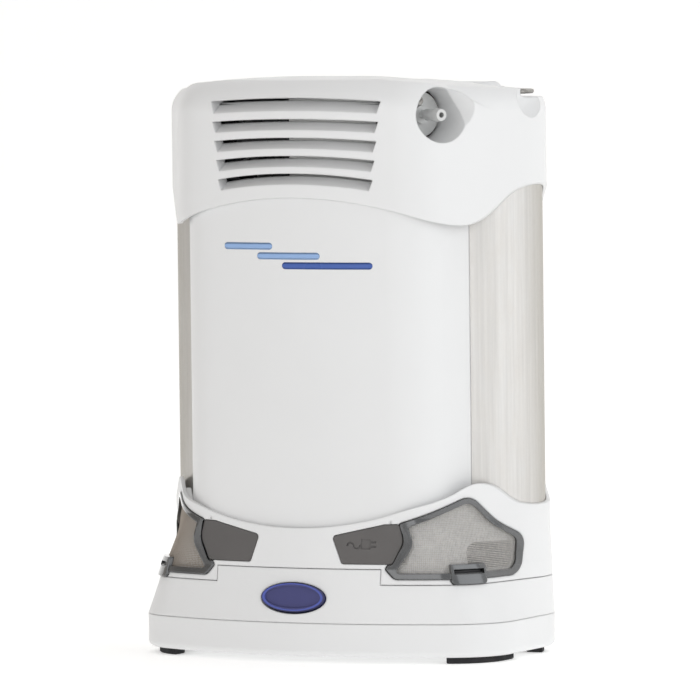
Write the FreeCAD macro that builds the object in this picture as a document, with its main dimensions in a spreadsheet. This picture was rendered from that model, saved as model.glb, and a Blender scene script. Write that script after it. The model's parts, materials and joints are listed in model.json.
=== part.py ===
"""Portable oxygen concentrator: a free-standing two-bed pressure-swing machine.

Row frame, millimetres: origin at the centre of the footprint on the floor, +X to the right
seen from the front, +Y towards the back, +Z up.  The front faces -Y.
"""
import FreeCAD, Part
import math
import os
import re
from types import SimpleNamespace

import Sketcher

V = FreeCAD.Vector
Rotation = FreeCAD.Rotation
Placement = FreeCAD.Placement

doc = FreeCAD.newDocument("oxygen_concentrator")
sheet = doc.addObject("Spreadsheet::Sheet", "Dims")

# ---------------------------------------------------------------- driving dimensions
DIMENSIONS = {
    # outline of the front panel, whose flanks run straight back to the tubes
    "panel_front_y": -49.5, "panel_front_rad": 187.0, "panel_corner_x": 37.0, "panel_corner_rad": 30.0,
    "panel_tube_x": 45.0, "panel_tube_y": 5.0, "panel_tube_rad": 30.0,
    # outline of the upper body: front arc, corner circles and the circles over the two tubes
    "body_front_y": -51.5, "body_front_rad": 189.0, "body_corner_x": 40.5, "body_corner_rad": 32.0,
    "body_tube_x": 58.5, "body_tube_y": 17.9, "body_tube_rad": 33.9,
    # the same outline at the waist seam
    "waist_front_y": -52.5, "waist_front_rad": 188.0, "waist_corner_x": 52.0, "waist_corner_rad": 31.0,
    "waist_tube_x": 58.7, "waist_tube_y": 20.0, "waist_tube_rad": 33.5,
    # the same outline at the foot of the base
    "base_front_y": -56.0, "base_front_rad": 187.0, "base_corner_x": 62.0, "base_corner_rad": 30.0,
    "base_tube_x": 59.0, "base_tube_y": 23.0, "base_tube_rad": 33.0,
    # levels
    "foot_height": 3.2, "tray_seam_z": 18.3, "side_seam_z": 36.0, "tongue_seam_z": 43.0,
    "tongue_half": 41.5, "shoulder_z": 66.0, "rim_top_z": 84.0, "cap_floor_z": 190.0,
    "cap_step_z": 226.0, "cap_deck_z": 262.4, "cap_brow_z": 265.9, "seam_gap": 0.3, "tray_gap": 0.14,
    # walls
    "wall": 2.5, "lip_wall": 1.8, "panel_wall": 2.2,
    # edge waves: arch radius, and the lobe and side points
    "cap_arch_z": 211.3, "cap_arch_rad": 190.0, "cap_lobe_x": 74.0, "cap_lobe_z": 198.4,
    "cap_side_x": 93.0, "cap_side_z": 216.6,
    "rim_arch_z": 61.3, "rim_arch_rad": 165.0, "rim_lobe_x": 76.0, "rim_lobe_z": 80.8,
    "rim_side_x": 93.0, "rim_side_z": 69.6,
    # tubes of the sieve beds
    "tube_rad": 31.9, "tube_wall": 1.6, "tube_bottom_z": 67.5, "tube_top_z": 222.0,
    # front and rear panels
    "panel_inset": 2.0, "panel_side_y": -11.2,
    # grille
    "slot_count": 5, "slot_top_z": 254.5, "slot_low_z": 219.4, "slot_height": 4.9,
    "slot_top_half": 43.0, "slot_low_half": 39.2, "slot_end_slant": 1.7, "slot_tilt": 31.0,
    "slot_top_arch": 1.3, "slot_low_arch": 3.0, "grille_depth": 6.2,
    # oxygen outlet
    "outlet_x": 48.9, "outlet_y": -20.8, "outlet_z": 248.5, "outlet_turn": 60.0,
    "outlet_floor_rad": 11.8, "outlet_mouth_rad": 12.9, "outlet_cup_depth": 26.0, "outlet_disc_rad": 10.4,
    "flare_rad": 10.5, "flare_aside": 6.0, "flare_up": 4.2,
    "outlet_disc_thick": 2.6, "outlet_bore_rad": 1.25, "barb_length": 17.5,
    # strap rings
    "ring_x": 70.5, "ring_y": 21.0, "ring_z": 258.1, "ring_wire": 1.1, "ring_reach": 15.0, "ring_half": 7.0,
    "scoop_x": 94.3, "scoop_y": 10.9, "scoop_z": 255.5, "scoop_rad": 9.5,
    "terrace_x": 60.0, "terrace_y": 12.5, "terrace_z": 255.5,
    # control panel
    "deck_half_x": 44.0, "deck_low_y": -9.0, "deck_high_y": 33.0, "deck_corner": 6.0,
    "deck_thick": 2.2, "key_gap": 0.25,
    # release button
    "button_z": 29.45, "button_half_x": 16.4, "button_half_z": 7.0, "button_gap": 0.25, "button_rim": 1.5,
    "face_z": 30.0, "face_half_x": 15.6, "face_half_z": 6.4, "face_y": -54.9, "face_rise": 4.0,
    # filters: the outline lies in a plane turned by filter_turn from the front
    "filter_turn": 50.0, "frame_proud": 0.8, "frame_depth": 1.6, "pocket_depth": 3.0,
    "pocket_wall": 1.5,
    # doors over the two ports
    "door_thick": 2.4, "door_pin_x": 45.6, "door_pin_y": -45.2, "door_pin_rad": 0.6, "door_gap": 0.3,
    "recess_depth": 9.6, "recess_floor": 1.8,
    # compressor
    "crank_z": 88.0, "crank_throw": 5.0, "motor_rad": 22.0,
    # battery
    "cell_rad": 9.2, "cell_length": 65.2, "cell_pitch": 19.0,
}

for row, (alias, value) in enumerate(DIMENSIONS.items(), start=1):
    sheet.set(f"A{row}", alias)
    sheet.set(f"B{row}", str(value))
    sheet.setAlias(f"B{row}", alias)
doc.recompute()
d = SimpleNamespace(**{alias: float(sheet.get(alias)) for alias in DIMENSIONS})

NODES = []
FOOT_ZONES = [(-91, -60, 22, 56), (69, -60, 22, 56), (-88, 28, 38, 30), (50, 28, 38, 30)]
BASE_SCREWS = [(-73.5, -19.0), (73.5, -19.0), (-73.5, 30.0), (73.5, 30.0)]
REAR_SCREWS = [(-20.0, 78.0), (20.0, 78.0), (-20.0, 188.0), (20.0, 188.0)]


# ---------------------------------------------------------------- helpers
def bind(obj, prop, value):
    """Sets a property from a number, or binds it to an expression over the sheet's aliases."""
    if isinstance(value, str):
        text = re.sub(r"[a-z_]+", lambda m: "Dims." + m.group() if m.group() in DIMENSIONS else m.group(),
                      value)
        obj.setExpression(prop, text)
    elif "." in prop:
        obj.setExpression(prop, repr(float(value)))
    else:
        setattr(obj, prop, value)


def place(obj, x, y, z, rotation=None):
    if rotation is not None:
        obj.Placement = Placement(V(0, 0, 0), rotation)
    for axis, value in (("x", x), ("y", y), ("z", z)):
        bind(obj, "Placement.Base." + axis, value)
    return obj


def box(name, x, y, z, size_x, size_y, size_z, rotation=None):
    """A box from its low corner."""
    obj = doc.addObject("Part::Box", name)
    for prop, value in (("Length", size_x), ("Width", size_y), ("Height", size_z)):
        bind(obj, prop, value)
    return place(obj, x, y, z, rotation)


def along(direction):
    return Rotation(V(0, 0, 1), V(*direction))


AXES = {"X": along((1, 0, 0)), "Y": along((0, 1, 0)), "Z": Rotation()}


def cylinder(name, x, y, z, radius, height, axis="Z"):
    obj = doc.addObject("Part::Cylinder", name)
    bind(obj, "Radius", radius)
    bind(obj, "Height", height)
    return place(obj, x, y, z, AXES.get(axis, None) if isinstance(axis, str) else along(axis))


def cone(name, x, y, z, radius_low, radius_high, height, axis="Z"):
    obj = doc.addObject("Part::Cone", name)
    for prop, value in (("Radius1", radius_low), ("Radius2", radius_high), ("Height", height)):
        bind(obj, prop, value)
    return place(obj, x, y, z, AXES[axis] if isinstance(axis, str) else along(axis))


def torus(name, x, y, z, ring, wire, axis="Z"):
    obj = doc.addObject("Part::Torus", name)
    bind(obj, "Radius1", ring)
    bind(obj, "Radius2", wire)
    return place(obj, x, y, z, AXES[axis] if isinstance(axis, str) else along(axis))


def sphere(name, x, y, z, radius):
    obj = doc.addObject("Part::Sphere", name)
    bind(obj, "Radius", radius)
    return place(obj, x, y, z)


def cut(name, base, *tools):
    obj = doc.addObject("Part::Cut", name)
    obj.Base = base
    obj.Tool = tools[0] if len(tools) == 1 else join(name + "_tools", *tools)
    return obj


def join(name, *shapes):
    obj = doc.addObject("Part::MultiFuse", name)
    obj.Shapes = list(shapes)
    return obj


def overlap(name, *shapes):
    obj = doc.addObject("Part::MultiCommon", name)
    obj.Shapes = list(shapes)
    return obj


def group(name, *shapes):
    """Several separate solids kept in one node."""
    obj = doc.addObject("Part::Compound", name)
    obj.Links = list(shapes)
    return obj


def mirror(name, source):
    obj = doc.addObject("Part::Mirroring", name)
    obj.Source = source
    obj.Normal = V(1, 0, 0)
    return obj


def fillet(name, base, radius, pick):
    """Rounds the edges of base for which pick(edge) is true."""
    doc.recompute()
    obj = doc.addObject("Part::Fillet", name)
    obj.Base = base
    obj.Edges = [(i + 1, radius, radius) for i, e in enumerate(base.Shape.Edges) if pick(e)]
    return obj


def extrude(name, sketch, direction, length, back=0.0):
    obj = doc.addObject("Part::Extrusion", name)
    obj.Base = sketch
    obj.DirMode = "Custom"
    obj.Dir = V(*direction)
    bind(obj, "LengthFwd", length)
    if back:
        bind(obj, "LengthRev", back)
    obj.Solid = True
    return obj


def loft(name, *sections):
    obj = doc.addObject("Part::Loft", name)
    obj.Sections = list(sections)
    obj.Solid = True
    obj.Ruled = True
    return obj


def node(label, obj):
    """Marks obj as a finished sub-part that is exported under this label."""
    obj.Label = label
    NODES.append(obj)
    return obj


# ---------------------------------------------------------------- sketches
def tangent_arc_end(centre, radius, angle):
    return V(centre[0] + radius * math.cos(angle), centre[1] + radius * math.sin(angle), 0)


def arc(centre, radius, start, end):
    circle = Part.Circle(V(centre[0], centre[1], 0), V(0, 0, 1), radius)
    return Part.ArcOfCircle(circle, start, end)


def outline(name, level, z, offset=0.0):
    """The closed plan outline at one level ("body", "waist" or "base"), grown by offset.

    It is a front arc, two corner arcs, two flanks, an arc round each tube and a straight back,
    each tangent to the next.
    """
    def at(key):
        return getattr(d, f"{level}_{key}")

    front_r = at("front_rad") + offset
    corner_r = at("corner_rad") + offset
    tube_r = at("tube_rad") + offset
    front = (0.0, at("front_y") + at("front_rad"))
    reach = at("front_rad") - at("corner_rad")
    corner = (at("corner_x"), front[1] - math.sqrt(reach ** 2 - at("corner_x") ** 2))
    tube = (at("tube_x"), at("tube_y"))
    turn = math.atan2(corner[1] - front[1], corner[0])
    dx, dy = tube[0] - corner[0], tube[1] - corner[1]
    flank = math.atan2(dy, dx) - math.acos((corner_r - tube_r) / math.hypot(dx, dy))
    quarter = math.pi / 2
    left_corner, left_tube = (-corner[0], corner[1]), (-tube[0], tube[1])

    sketch = doc.addObject("Sketcher::SketchObject", name)
    geometry = [
        arc(front, front_r, -math.pi - turn, turn),
        arc(corner, corner_r, turn, flank),
        Part.LineSegment(tangent_arc_end(corner, corner_r, flank), tangent_arc_end(tube, tube_r, flank)),
        arc(tube, tube_r, flank, quarter),
        Part.LineSegment(V(tube[0], tube[1] + tube_r, 0), V(-tube[0], tube[1] + tube_r, 0)),
        arc(left_tube, tube_r, quarter, math.pi - flank),
        Part.LineSegment(tangent_arc_end(left_tube, tube_r, math.pi - flank),
                         tangent_arc_end(left_corner, corner_r, math.pi - flank)),
        arc(left_corner, corner_r, math.pi - flank, math.pi - turn),
    ]
    sketch.addGeometry(geometry, False)
    for i in range(8):
        sketch.addConstraint(Sketcher.Constraint("Tangent", i, 2, (i + 1) % 8, 1))
    grow = f" + {offset}" if offset >= 0 else f" - {-offset}"
    named = [
        ("Radius", (0,), front_r, f"{level}_front_rad{grow}"),
        ("Radius", (1,), corner_r, f"{level}_corner_rad{grow}"),
        ("Radius", (3,), tube_r, f"{level}_tube_rad{grow}"),
        ("Radius", (5,), tube_r, f"{level}_tube_rad{grow}"),
        ("Radius", (7,), corner_r, f"{level}_corner_rad{grow}"),
        ("DistanceX", (-1, 1, 1, 3), corner[0], f"{level}_corner_x"),
        ("DistanceX", (-1, 1, 7, 3), -corner[0], f"-{level}_corner_x"),
        ("DistanceX", (-1, 1, 3, 3), tube[0], f"{level}_tube_x"),
        ("DistanceX", (-1, 1, 5, 3), -tube[0], f"-{level}_tube_x"),
        ("DistanceY", (-1, 1, 3, 3), tube[1], f"{level}_tube_y"),
        ("DistanceY", (-1, 1, 5, 3), tube[1], f"{level}_tube_y"),
        ("DistanceX", (-1, 1, 0, 3), 0.0, None),
        ("DistanceY", (-1, 1, 0, 3), front[1], f"{level}_front_y + {level}_front_rad"),
    ]
    for count, (kind, refs, value, text) in enumerate(named):
        index = sketch.addConstraint(Sketcher.Constraint(kind, *refs, value))
        if text:
            sketch.renameConstraint(index, f"size_{count}")
            bind(sketch, f"Constraints.size_{count}", text)
    bind(sketch, "Placement.Base.z", z)
    return sketch


def upright(turn=0.0):
    """Rotation of a sketch whose x runs sideways and y up, its normal facing the front turned by turn."""
    return Rotation(V(0, 0, 1), turn) * Rotation(V(1, 0, 0), 90)


def plain_sketch(name, geometry, rotation=None, origin=(0, 0, 0)):
    sketch = doc.addObject("Sketcher::SketchObject", name)
    sketch.addGeometry(geometry, False)
    return place(sketch, *origin, rotation if rotation is not None else Rotation())


def rounded(corners):
    """Lines and arcs of a closed polygon; corners are (x, y, radius)."""
    ends = []
    n = len(corners)
    for i, (x, y, radius) in enumerate(corners):
        here = V(x, y, 0)
        back = (V(*corners[i - 1][:2], 0) - here).normalize()
        ahead = (V(*corners[(i + 1) % n][:2], 0) - here).normalize()
        half = back.getAngle(ahead) / 2
        reach = radius / math.tan(half)
        middle = (back + ahead).normalize() * (radius / math.sin(half) - radius)
        ends.append((here + back * reach, here + middle, here + ahead * reach))
    geometry = []
    for i, (start, middle, end) in enumerate(ends):
        if corners[i][2] > 0:
            geometry.append(Part.Arc(start, middle, end))
        geometry.append(Part.LineSegment(end, ends[(i + 1) % n][0]))
    return geometry


def closed_wave(points, far_y):
    """A spline through points, mirrored about x = 0 and closed with straight sides at far_y."""
    left = [V(-x, y, 0) for x, y in reversed(points) if x > 0]
    knots = left + [V(x, y, 0) for x, y in points]
    curve = Part.BSplineCurve()
    curve.interpolate(knots)
    first, last = knots[0], knots[-1]
    low, high = V(last.x, far_y, 0), V(first.x, far_y, 0)
    return [curve, Part.LineSegment(last, low), Part.LineSegment(low, high), Part.LineSegment(high, first)]


def arch_points(top_z, radius, sign, last_x):
    """Points on an arch about x = 0 that falls (sign -1) or climbs (sign 1) away from the middle."""
    steps = 5
    xs = [last_x * i / steps for i in range(steps + 1)]
    return [(x, top_z + sign * (radius - math.sqrt(radius ** 2 - x ** 2))) for x in xs]


def cap_edge(shift=0.0):
    points = arch_points(d.cap_arch_z, d.cap_arch_rad, -1, d.cap_lobe_x - 7)
    rise = d.cap_side_z - d.cap_lobe_z
    run = d.cap_side_x - d.cap_lobe_x
    points += [(d.cap_lobe_x, d.cap_lobe_z), (d.cap_lobe_x + 0.28 * run, d.cap_lobe_z + 0.22 * rise),
               (d.cap_lobe_x + 0.55 * run, d.cap_lobe_z + 0.63 * rise),
               (d.cap_lobe_x + 0.76 * run, d.cap_lobe_z + 0.87 * rise),
               (d.cap_side_x, d.cap_side_z), (d.cap_side_x + 6, d.cap_side_z + 0.6)]
    return [(x, z + shift) for x, z in points]


def rim_edge(shift=0.0):
    points = arch_points(d.rim_arch_z, d.rim_arch_rad, 1, d.rim_lobe_x - 7)
    fall = d.rim_lobe_z - d.rim_side_z
    run = d.rim_side_x - d.rim_lobe_x
    points += [(d.rim_lobe_x, d.rim_lobe_z), (d.rim_lobe_x + 0.26 * run, d.rim_lobe_z - 0.14 * fall),
               (d.rim_lobe_x + 0.44 * run, d.rim_lobe_z - 0.45 * fall),
               (d.rim_lobe_x + 0.66 * run, d.rim_lobe_z - 0.82 * fall),
               (d.rim_side_x, d.rim_side_z), (d.rim_side_x + 6, d.rim_side_z - 0.3)]
    return [(x, z + shift) for x, z in points]


# ---------------------------------------------------------------- shared solids
SPAN = 220.0


def slab(name, low_z, high_z):
    """Everything between two levels."""
    return box(name, -SPAN / 2, -SPAN / 2, low_z, SPAN, SPAN, f"{high_z} - ({low_z})")


def skin(name, offset):
    """The lofted lower body grown by offset, from the tray seam to the top of the rim."""
    return loft(name,
                outline(name + "_a", "base", "tray_seam_z", offset),
                outline(name + "_b", "waist", "tongue_seam_z", offset),
                outline(name + "_c", "body", "shoulder_z", offset),
                outline(name + "_d", "body", "rim_top_z", offset))


def prism(name, level, low_z, high_z, offset=0.0):
    """The plan outline of one level as an upright solid."""
    sketch = outline(name + "_s", level, low_z, offset)
    return extrude(name, sketch, (0, 0, 1), f"{high_z} - ({low_z})")


def wave_prism(name, points, far_z):
    """Everything between an edge wave (seen from the front) and the level far_z."""
    sketch = plain_sketch(name + "_s", closed_wave(points, far_z), upright(), (0, SPAN / 2, 0))
    return extrude(name, sketch, (0, -1, 0), SPAN)


def facing_prism(name, corners, turn, near, far):
    """A rounded outline extruded outwards along the direction turned by turn from the front."""
    angle = math.radians(turn)
    out = (math.sin(angle), -math.cos(angle), 0)
    sketch = plain_sketch(name + "_s", rounded(corners), upright(turn), tuple(c * near for c in out))
    return extrude(name, sketch, out, far - near)


def tube_clearance(name, x, low_z, high_z, gap=0.15):
    return cylinder(name, x, "body_tube_y", low_z, f"tube_rad + {gap}", f"{high_z} - ({low_z})")


def both_tubes(name, low_z, high_z, gap=0.15):
    return join(name, tube_clearance(name + "_r", "body_tube_x", low_z, high_z, gap),
                tube_clearance(name + "_l", "-body_tube_x", low_z, high_z, gap))


# ---------------------------------------------------------------- outlines of small parts
FILTER_OUTER = [(-3.0, 63.6, 1.5), (31.6, 75.5, 9), (45.4, 63.0, 36), (61.0, 55.6, 6), (57.6, 38.6, 8),
                (-5.2, 38.6, 2.5), (-8.4, 43.2, 1.5), (-0.4, 55.2, 9)]
FILTER_INNER = [(0.4, 62.3, 1.2), (31.2, 72.9, 7.5), (42.6, 62.0, 30), (56.4, 55.2, 4), (54.4, 41.2, 6),
                (-5.4, 41.2, 1.2), (2.6, 54.0, 8)]
FILTER_CLIP = [(17.2, 36.2, 2.0), (35.0, 36.2, 2.0), (35.0, 45.2, 0.6), (17.2, 45.2, 0.6)]
CLIP_SLOT = [(18.5, 40.8, 0.3), (34.0, 40.8, 0.3), (34.0, 43.0, 0.3), (18.5, 43.0, 0.3)]
FILTER_PORT = [(27.8, 42.0, 1.0), (53.4, 42.0, 4.0), (55.6, 54.0, 1.0), (27.8, 54.0, 6.0)]
DOOR = [(18.7, 57.8, 1.5), (43.0, 63.2, 3), (49.6, 63.4, 1.5), (51.4, 55.4, 8), (46.6, 45.5, 1.5),
        (23.3, 45.5, 1.2)]


def grown(corners, amount):
    """The same polygon with every side moved outwards by amount."""
    n = len(corners)
    turn = sum(corners[i - 1][0] * corners[i][1] - corners[i][0] * corners[i - 1][1] for i in range(n))
    side = amount if turn < 0 else -amount
    lines = []
    for i in range(n):
        (x0, y0, _), (x1, y1, _) = corners[i - 1], corners[i]
        length = math.hypot(x1 - x0, y1 - y0)
        nx, ny = -(y1 - y0) / length * side, (x1 - x0) / length * side
        lines.append((x0 + nx, y0 + ny, x1 - x0, y1 - y0))
    result = []
    for i in range(n):
        ax, ay, adx, ady = lines[i]
        bx, by, bdx, bdy = lines[(i + 1) % n]
        t = ((bx - ax) * bdy - (by - ay) * bdx) / (adx * bdy - ady * bdx)
        concave = (adx * bdy - ady * bdx) * turn < 0
        radius = corners[i][2] + (-amount if concave else amount)
        result.append((ax + adx * t, ay + ady * t, max(radius, 0.3)))
    return result


# ---------------------------------------------------------------- base: battery module
def make_feet():
    """Four rubber pads that follow the corners of the tray."""
    band = cut("foot_band", prism("foot_out", "base", 0.0, "foot_height", -5.0),
               prism("foot_in", "base", 0.0, "foot_height", -13.0))
    corners = join("foot_zone", *[box(f"foot_zone_{i}", x, y, -1, wide, deep, 8)
                                  for i, (x, y, wide, deep) in enumerate(FOOT_ZONES)])
    pads = overlap("foot_pads", band, corners)
    return node("feet", fillet("foot_round", pads, 0.8, lambda e: e.BoundBox.ZMax < 0.01))


def make_battery_case_lower():
    body = prism("tray_out", "base", 3.0, "tray_seam_z - tray_gap / 2")
    round_ = fillet("tray_round", body, 3.0, lambda e: e.BoundBox.ZMax < 3.01)
    hollow = prism("tray_in", "base", 5.5, "tray_seam_z", -2.5)
    sockets = cut("foot_sockets", prism("socket_out", "base", 0.0, 3.3, -4.9),
                  prism("socket_in", "base", 0.0, 3.3, -13.1))
    zone = join("socket_zone", *[box(f"socket_zone_{i}", x - 0.1, y - 0.1, -1, wide + 0.2, deep + 0.2, 8)
                                 for i, (x, y, wide, deep) in enumerate(FOOT_ZONES)])
    shell = cut("tray_shell", round_, hollow, overlap("sockets", sockets, zone))
    posts = [cylinder(f"tray_post_{i}", x, y, 5.4, 3.2, 12.6)
             for i, (x, y) in enumerate(BASE_SCREWS)]
    cradle = [box(f"cradle_{i}", x, -32.5, 5.4, 2.0, 78, 5.0) for i, x in enumerate([-50, -20, 18, 48])]
    cells = battery_cells("cradle_cells", 0.1)
    solid = cut("tray_solid", join("tray_join", shell, *posts, *cradle), cells,
                *[cylinder(f"tray_bore_{i}", x, y, 2.0, 1.5, 20)
                  for i, (x, y) in enumerate(BASE_SCREWS)],
                *[cylinder(f"tray_head_{i}", x, y, 2.0, 3.2, 2.6)
                  for i, (x, y) in enumerate(BASE_SCREWS)])
    return node("battery_case_lower", solid)


def battery_cells(name, gap=0.0):
    cells = []
    for i, x in enumerate((-66.0, 0.8)):
        for j in range(4):
            cells.append(cylinder(f"{name}_{i}_{j}", x, f"-21.5 + {j} * cell_pitch", 19.3,
                                  f"cell_rad + {gap}",
                                  "cell_length", "X"))
    return group(name, *cells)


def make_battery_cells():
    return node("battery_cells", battery_cells("cells"))


def oval(name, half_x, half_z, y, z):
    """An oval seen from the front, standing in the plane at y."""
    return plain_sketch(name, [Part.Ellipse(V(0, 0, 0), half_x, half_z)], upright(), (0, y, z))


def button_prism(name, grow, low_y, length):
    sketch = oval(name + "_s", d.button_half_x + grow, d.button_half_z + grow, low_y + length, d.button_z)
    return extrude(name, sketch, (0, -1, 0), length)


def make_battery_case_upper():
    zone = join("upper_zone",
                box("upper_zone_low", -SPAN / 2, -SPAN / 2, "tray_seam_z + tray_gap / 2", SPAN, SPAN,
                    "side_seam_z - tray_seam_z - tray_gap / 2 - seam_gap / 2"),
                box("upper_zone_tongue", "-tongue_half + seam_gap / 2", -SPAN / 2,
                    "tray_seam_z + tray_gap / 2",
                    "2 * tongue_half - seam_gap", 80,
                    "tongue_seam_z - tray_seam_z - tray_gap / 2 - seam_gap / 2"))
    plate = cut("upper_plate", slab("upper_plate_slab", 32.8, 35.0),
                box("button_notch", -20, -70, 30, 40, 24.2, 8))
    hollow = cut("upper_hollow", skin("upper_in", -d.wall), plate)
    slots = [box(f"hook_slot_{i}", x, -47.4, 30, 5.0, 8.6, 8) for i, x in enumerate((-24.5, 19.5))]
    shell = overlap("upper_shell", cut("upper_walls", skin("upper_out", 0.0), hollow), zone)
    ribs = [box("spring_rib", -9, -34.6, 24.5, 18, 1.6, 8.4)]
    bosses = [cylinder(f"upper_boss_{i}", x, y, 18.5, 3.2, 14.4)
              for i, (x, y) in enumerate(BASE_SCREWS)]
    window = box("contact_window", -14, 26, 30, 28, 8, 8)
    bores = [cylinder(f"upper_bore_{i}", x, y, 17.0, 1.2, 12)
             for i, (x, y) in enumerate(BASE_SCREWS)]
    solid = cut("upper_solid", join("upper_join", shell, *ribs, *bosses),
                button_prism("button_hole", d.button_gap, -66, 20),
                window, *slots, *bores)
    return node("battery_case_upper", solid)


def make_release_button():
    """The oval thumb button: its lower wall slopes up to a smaller face with a raised rim."""
    foot_y = -52.6
    body = button_prism("button_body", 0.0, foot_y, 3.9)
    taper = loft("button_taper", oval("taper_foot", d.button_half_x, d.button_half_z, foot_y, d.button_z),
                 oval("taper_face", d.face_half_x, d.face_half_z, d.face_y - 1.6, d.face_z))
    flange = overlap("button_flange", button_prism("flange_oval", 1.8, -66, 30), skin("flange_out", -3.2),
                     box("flange_zone", -30, -60, 20, 60, 30, 30))
    flange_thin = cut("button_flange_thin", flange, box("flange_back", -30, -48.7, 20, 60, 30, 30))
    stem = box("button_stem", -4, -49.0, 28.2, 8, 4.0, 4.0)
    tilt = Rotation(V(1, 0, 0), -d.face_rise)
    face = moved_box("button_face", (0, d.face_y, d.face_z), tilt, (-40, -80, -60), (80, 80, 120))
    sink = extrude("button_sink_prism",
                   oval("button_sink_s", d.face_half_x - d.button_rim, d.face_half_z - d.button_rim,
                                             -50, d.face_z), (0, -1, 0), 20.0)
    sunk = overlap("button_sink", sink, moved_box("button_sink_zone", (0, d.face_y + 0.8, d.face_z), tilt,
                                                  (-40, -80, -60), (80, 80, 120)))
    node("release_button",
         cut("button_solid", join("button_join", body, taper, flange_thin, stem), face, sunk))


def moved_box(name, origin, rotation, low, size):
    """A box whose low corner is given in axes turned by rotation about origin."""
    corner = V(*origin) + rotation.multVec(V(*low))
    return box(name, corner.x, corner.y, corner.z, *size, rotation)


def make_latch_bar():
    bar = box("latch_beam", -24, -45.0, 28.4, 48, 3.6, 3.4)
    posts = [box(f"latch_post_{i}", x, -45.0, 28.4, 4, 3.0, 12.2) for i, x in enumerate((-24, 20))]
    noses = [box(f"latch_nose_{i}", x, -46.3, 38.5, 4, 1.4, 2.1) for i, x in enumerate((-24, 20))]
    pilot = cylinder("latch_pilot", 0, -41.5, 29.6, 1.6, 2.4, "Y")
    return node("latch_bar", join("latch_join", bar, *posts, *noses, pilot))


def make_button_spring():
    helix = doc.addObject("Part::Helix", "spring_path")
    helix.Pitch = 1.25
    helix.Height = 5.6
    helix.Radius = 2.7
    helix.Placement = Placement(V(0, -40.85, 29.6), AXES["Y"])
    wire = doc.addObject("Part::Circle", "spring_wire")
    wire.Radius = 0.4
    wire.Placement = Placement(V(2.7, -40.85, 29.6), Rotation(V(0, 0, 1), 0))
    sweep = doc.addObject("Part::Sweep", "spring_sweep")
    sweep.Sections = [wire]
    sweep.Spine = (helix, ["Edge1"])
    sweep.Solid = True
    sweep.Frenet = True
    return node("button_spring", sweep)


def make_battery_board():
    board = box("battery_pcb", -60, -28, 29.6, 120, 70, 1.6)
    posts = [cylinder(f"pcb_hole_{i}", x, y, 29, 1.6, 3) for i,
             (x, y) in enumerate([(-55, -22), (55, -22), (-55, 37), (55, 37)])]
    return node("battery_board", cut("battery_board_cut", board, *posts))


def make_battery_contacts():
    blades = [box(f"contact_{i}", -10.9 + 4.6 * i, 27.5, 31.2, 3.2, 5.0, 6.0) for i in range(5)]
    return node("battery_contacts", group("contact_group", *blades))


# ---------------------------------------------------------------- lower housing, filters and doors
def door_prism(name, gap, near, far):
    return facing_prism(name, grown(DOOR, gap) if gap else DOOR, 0.0, near, far)


def filter_prism(name, corners, gap=0.0, near=20.0, far=90.0):
    return facing_prism(name, grown(corners, gap) if gap else corners, d.filter_turn, near, far)


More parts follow.
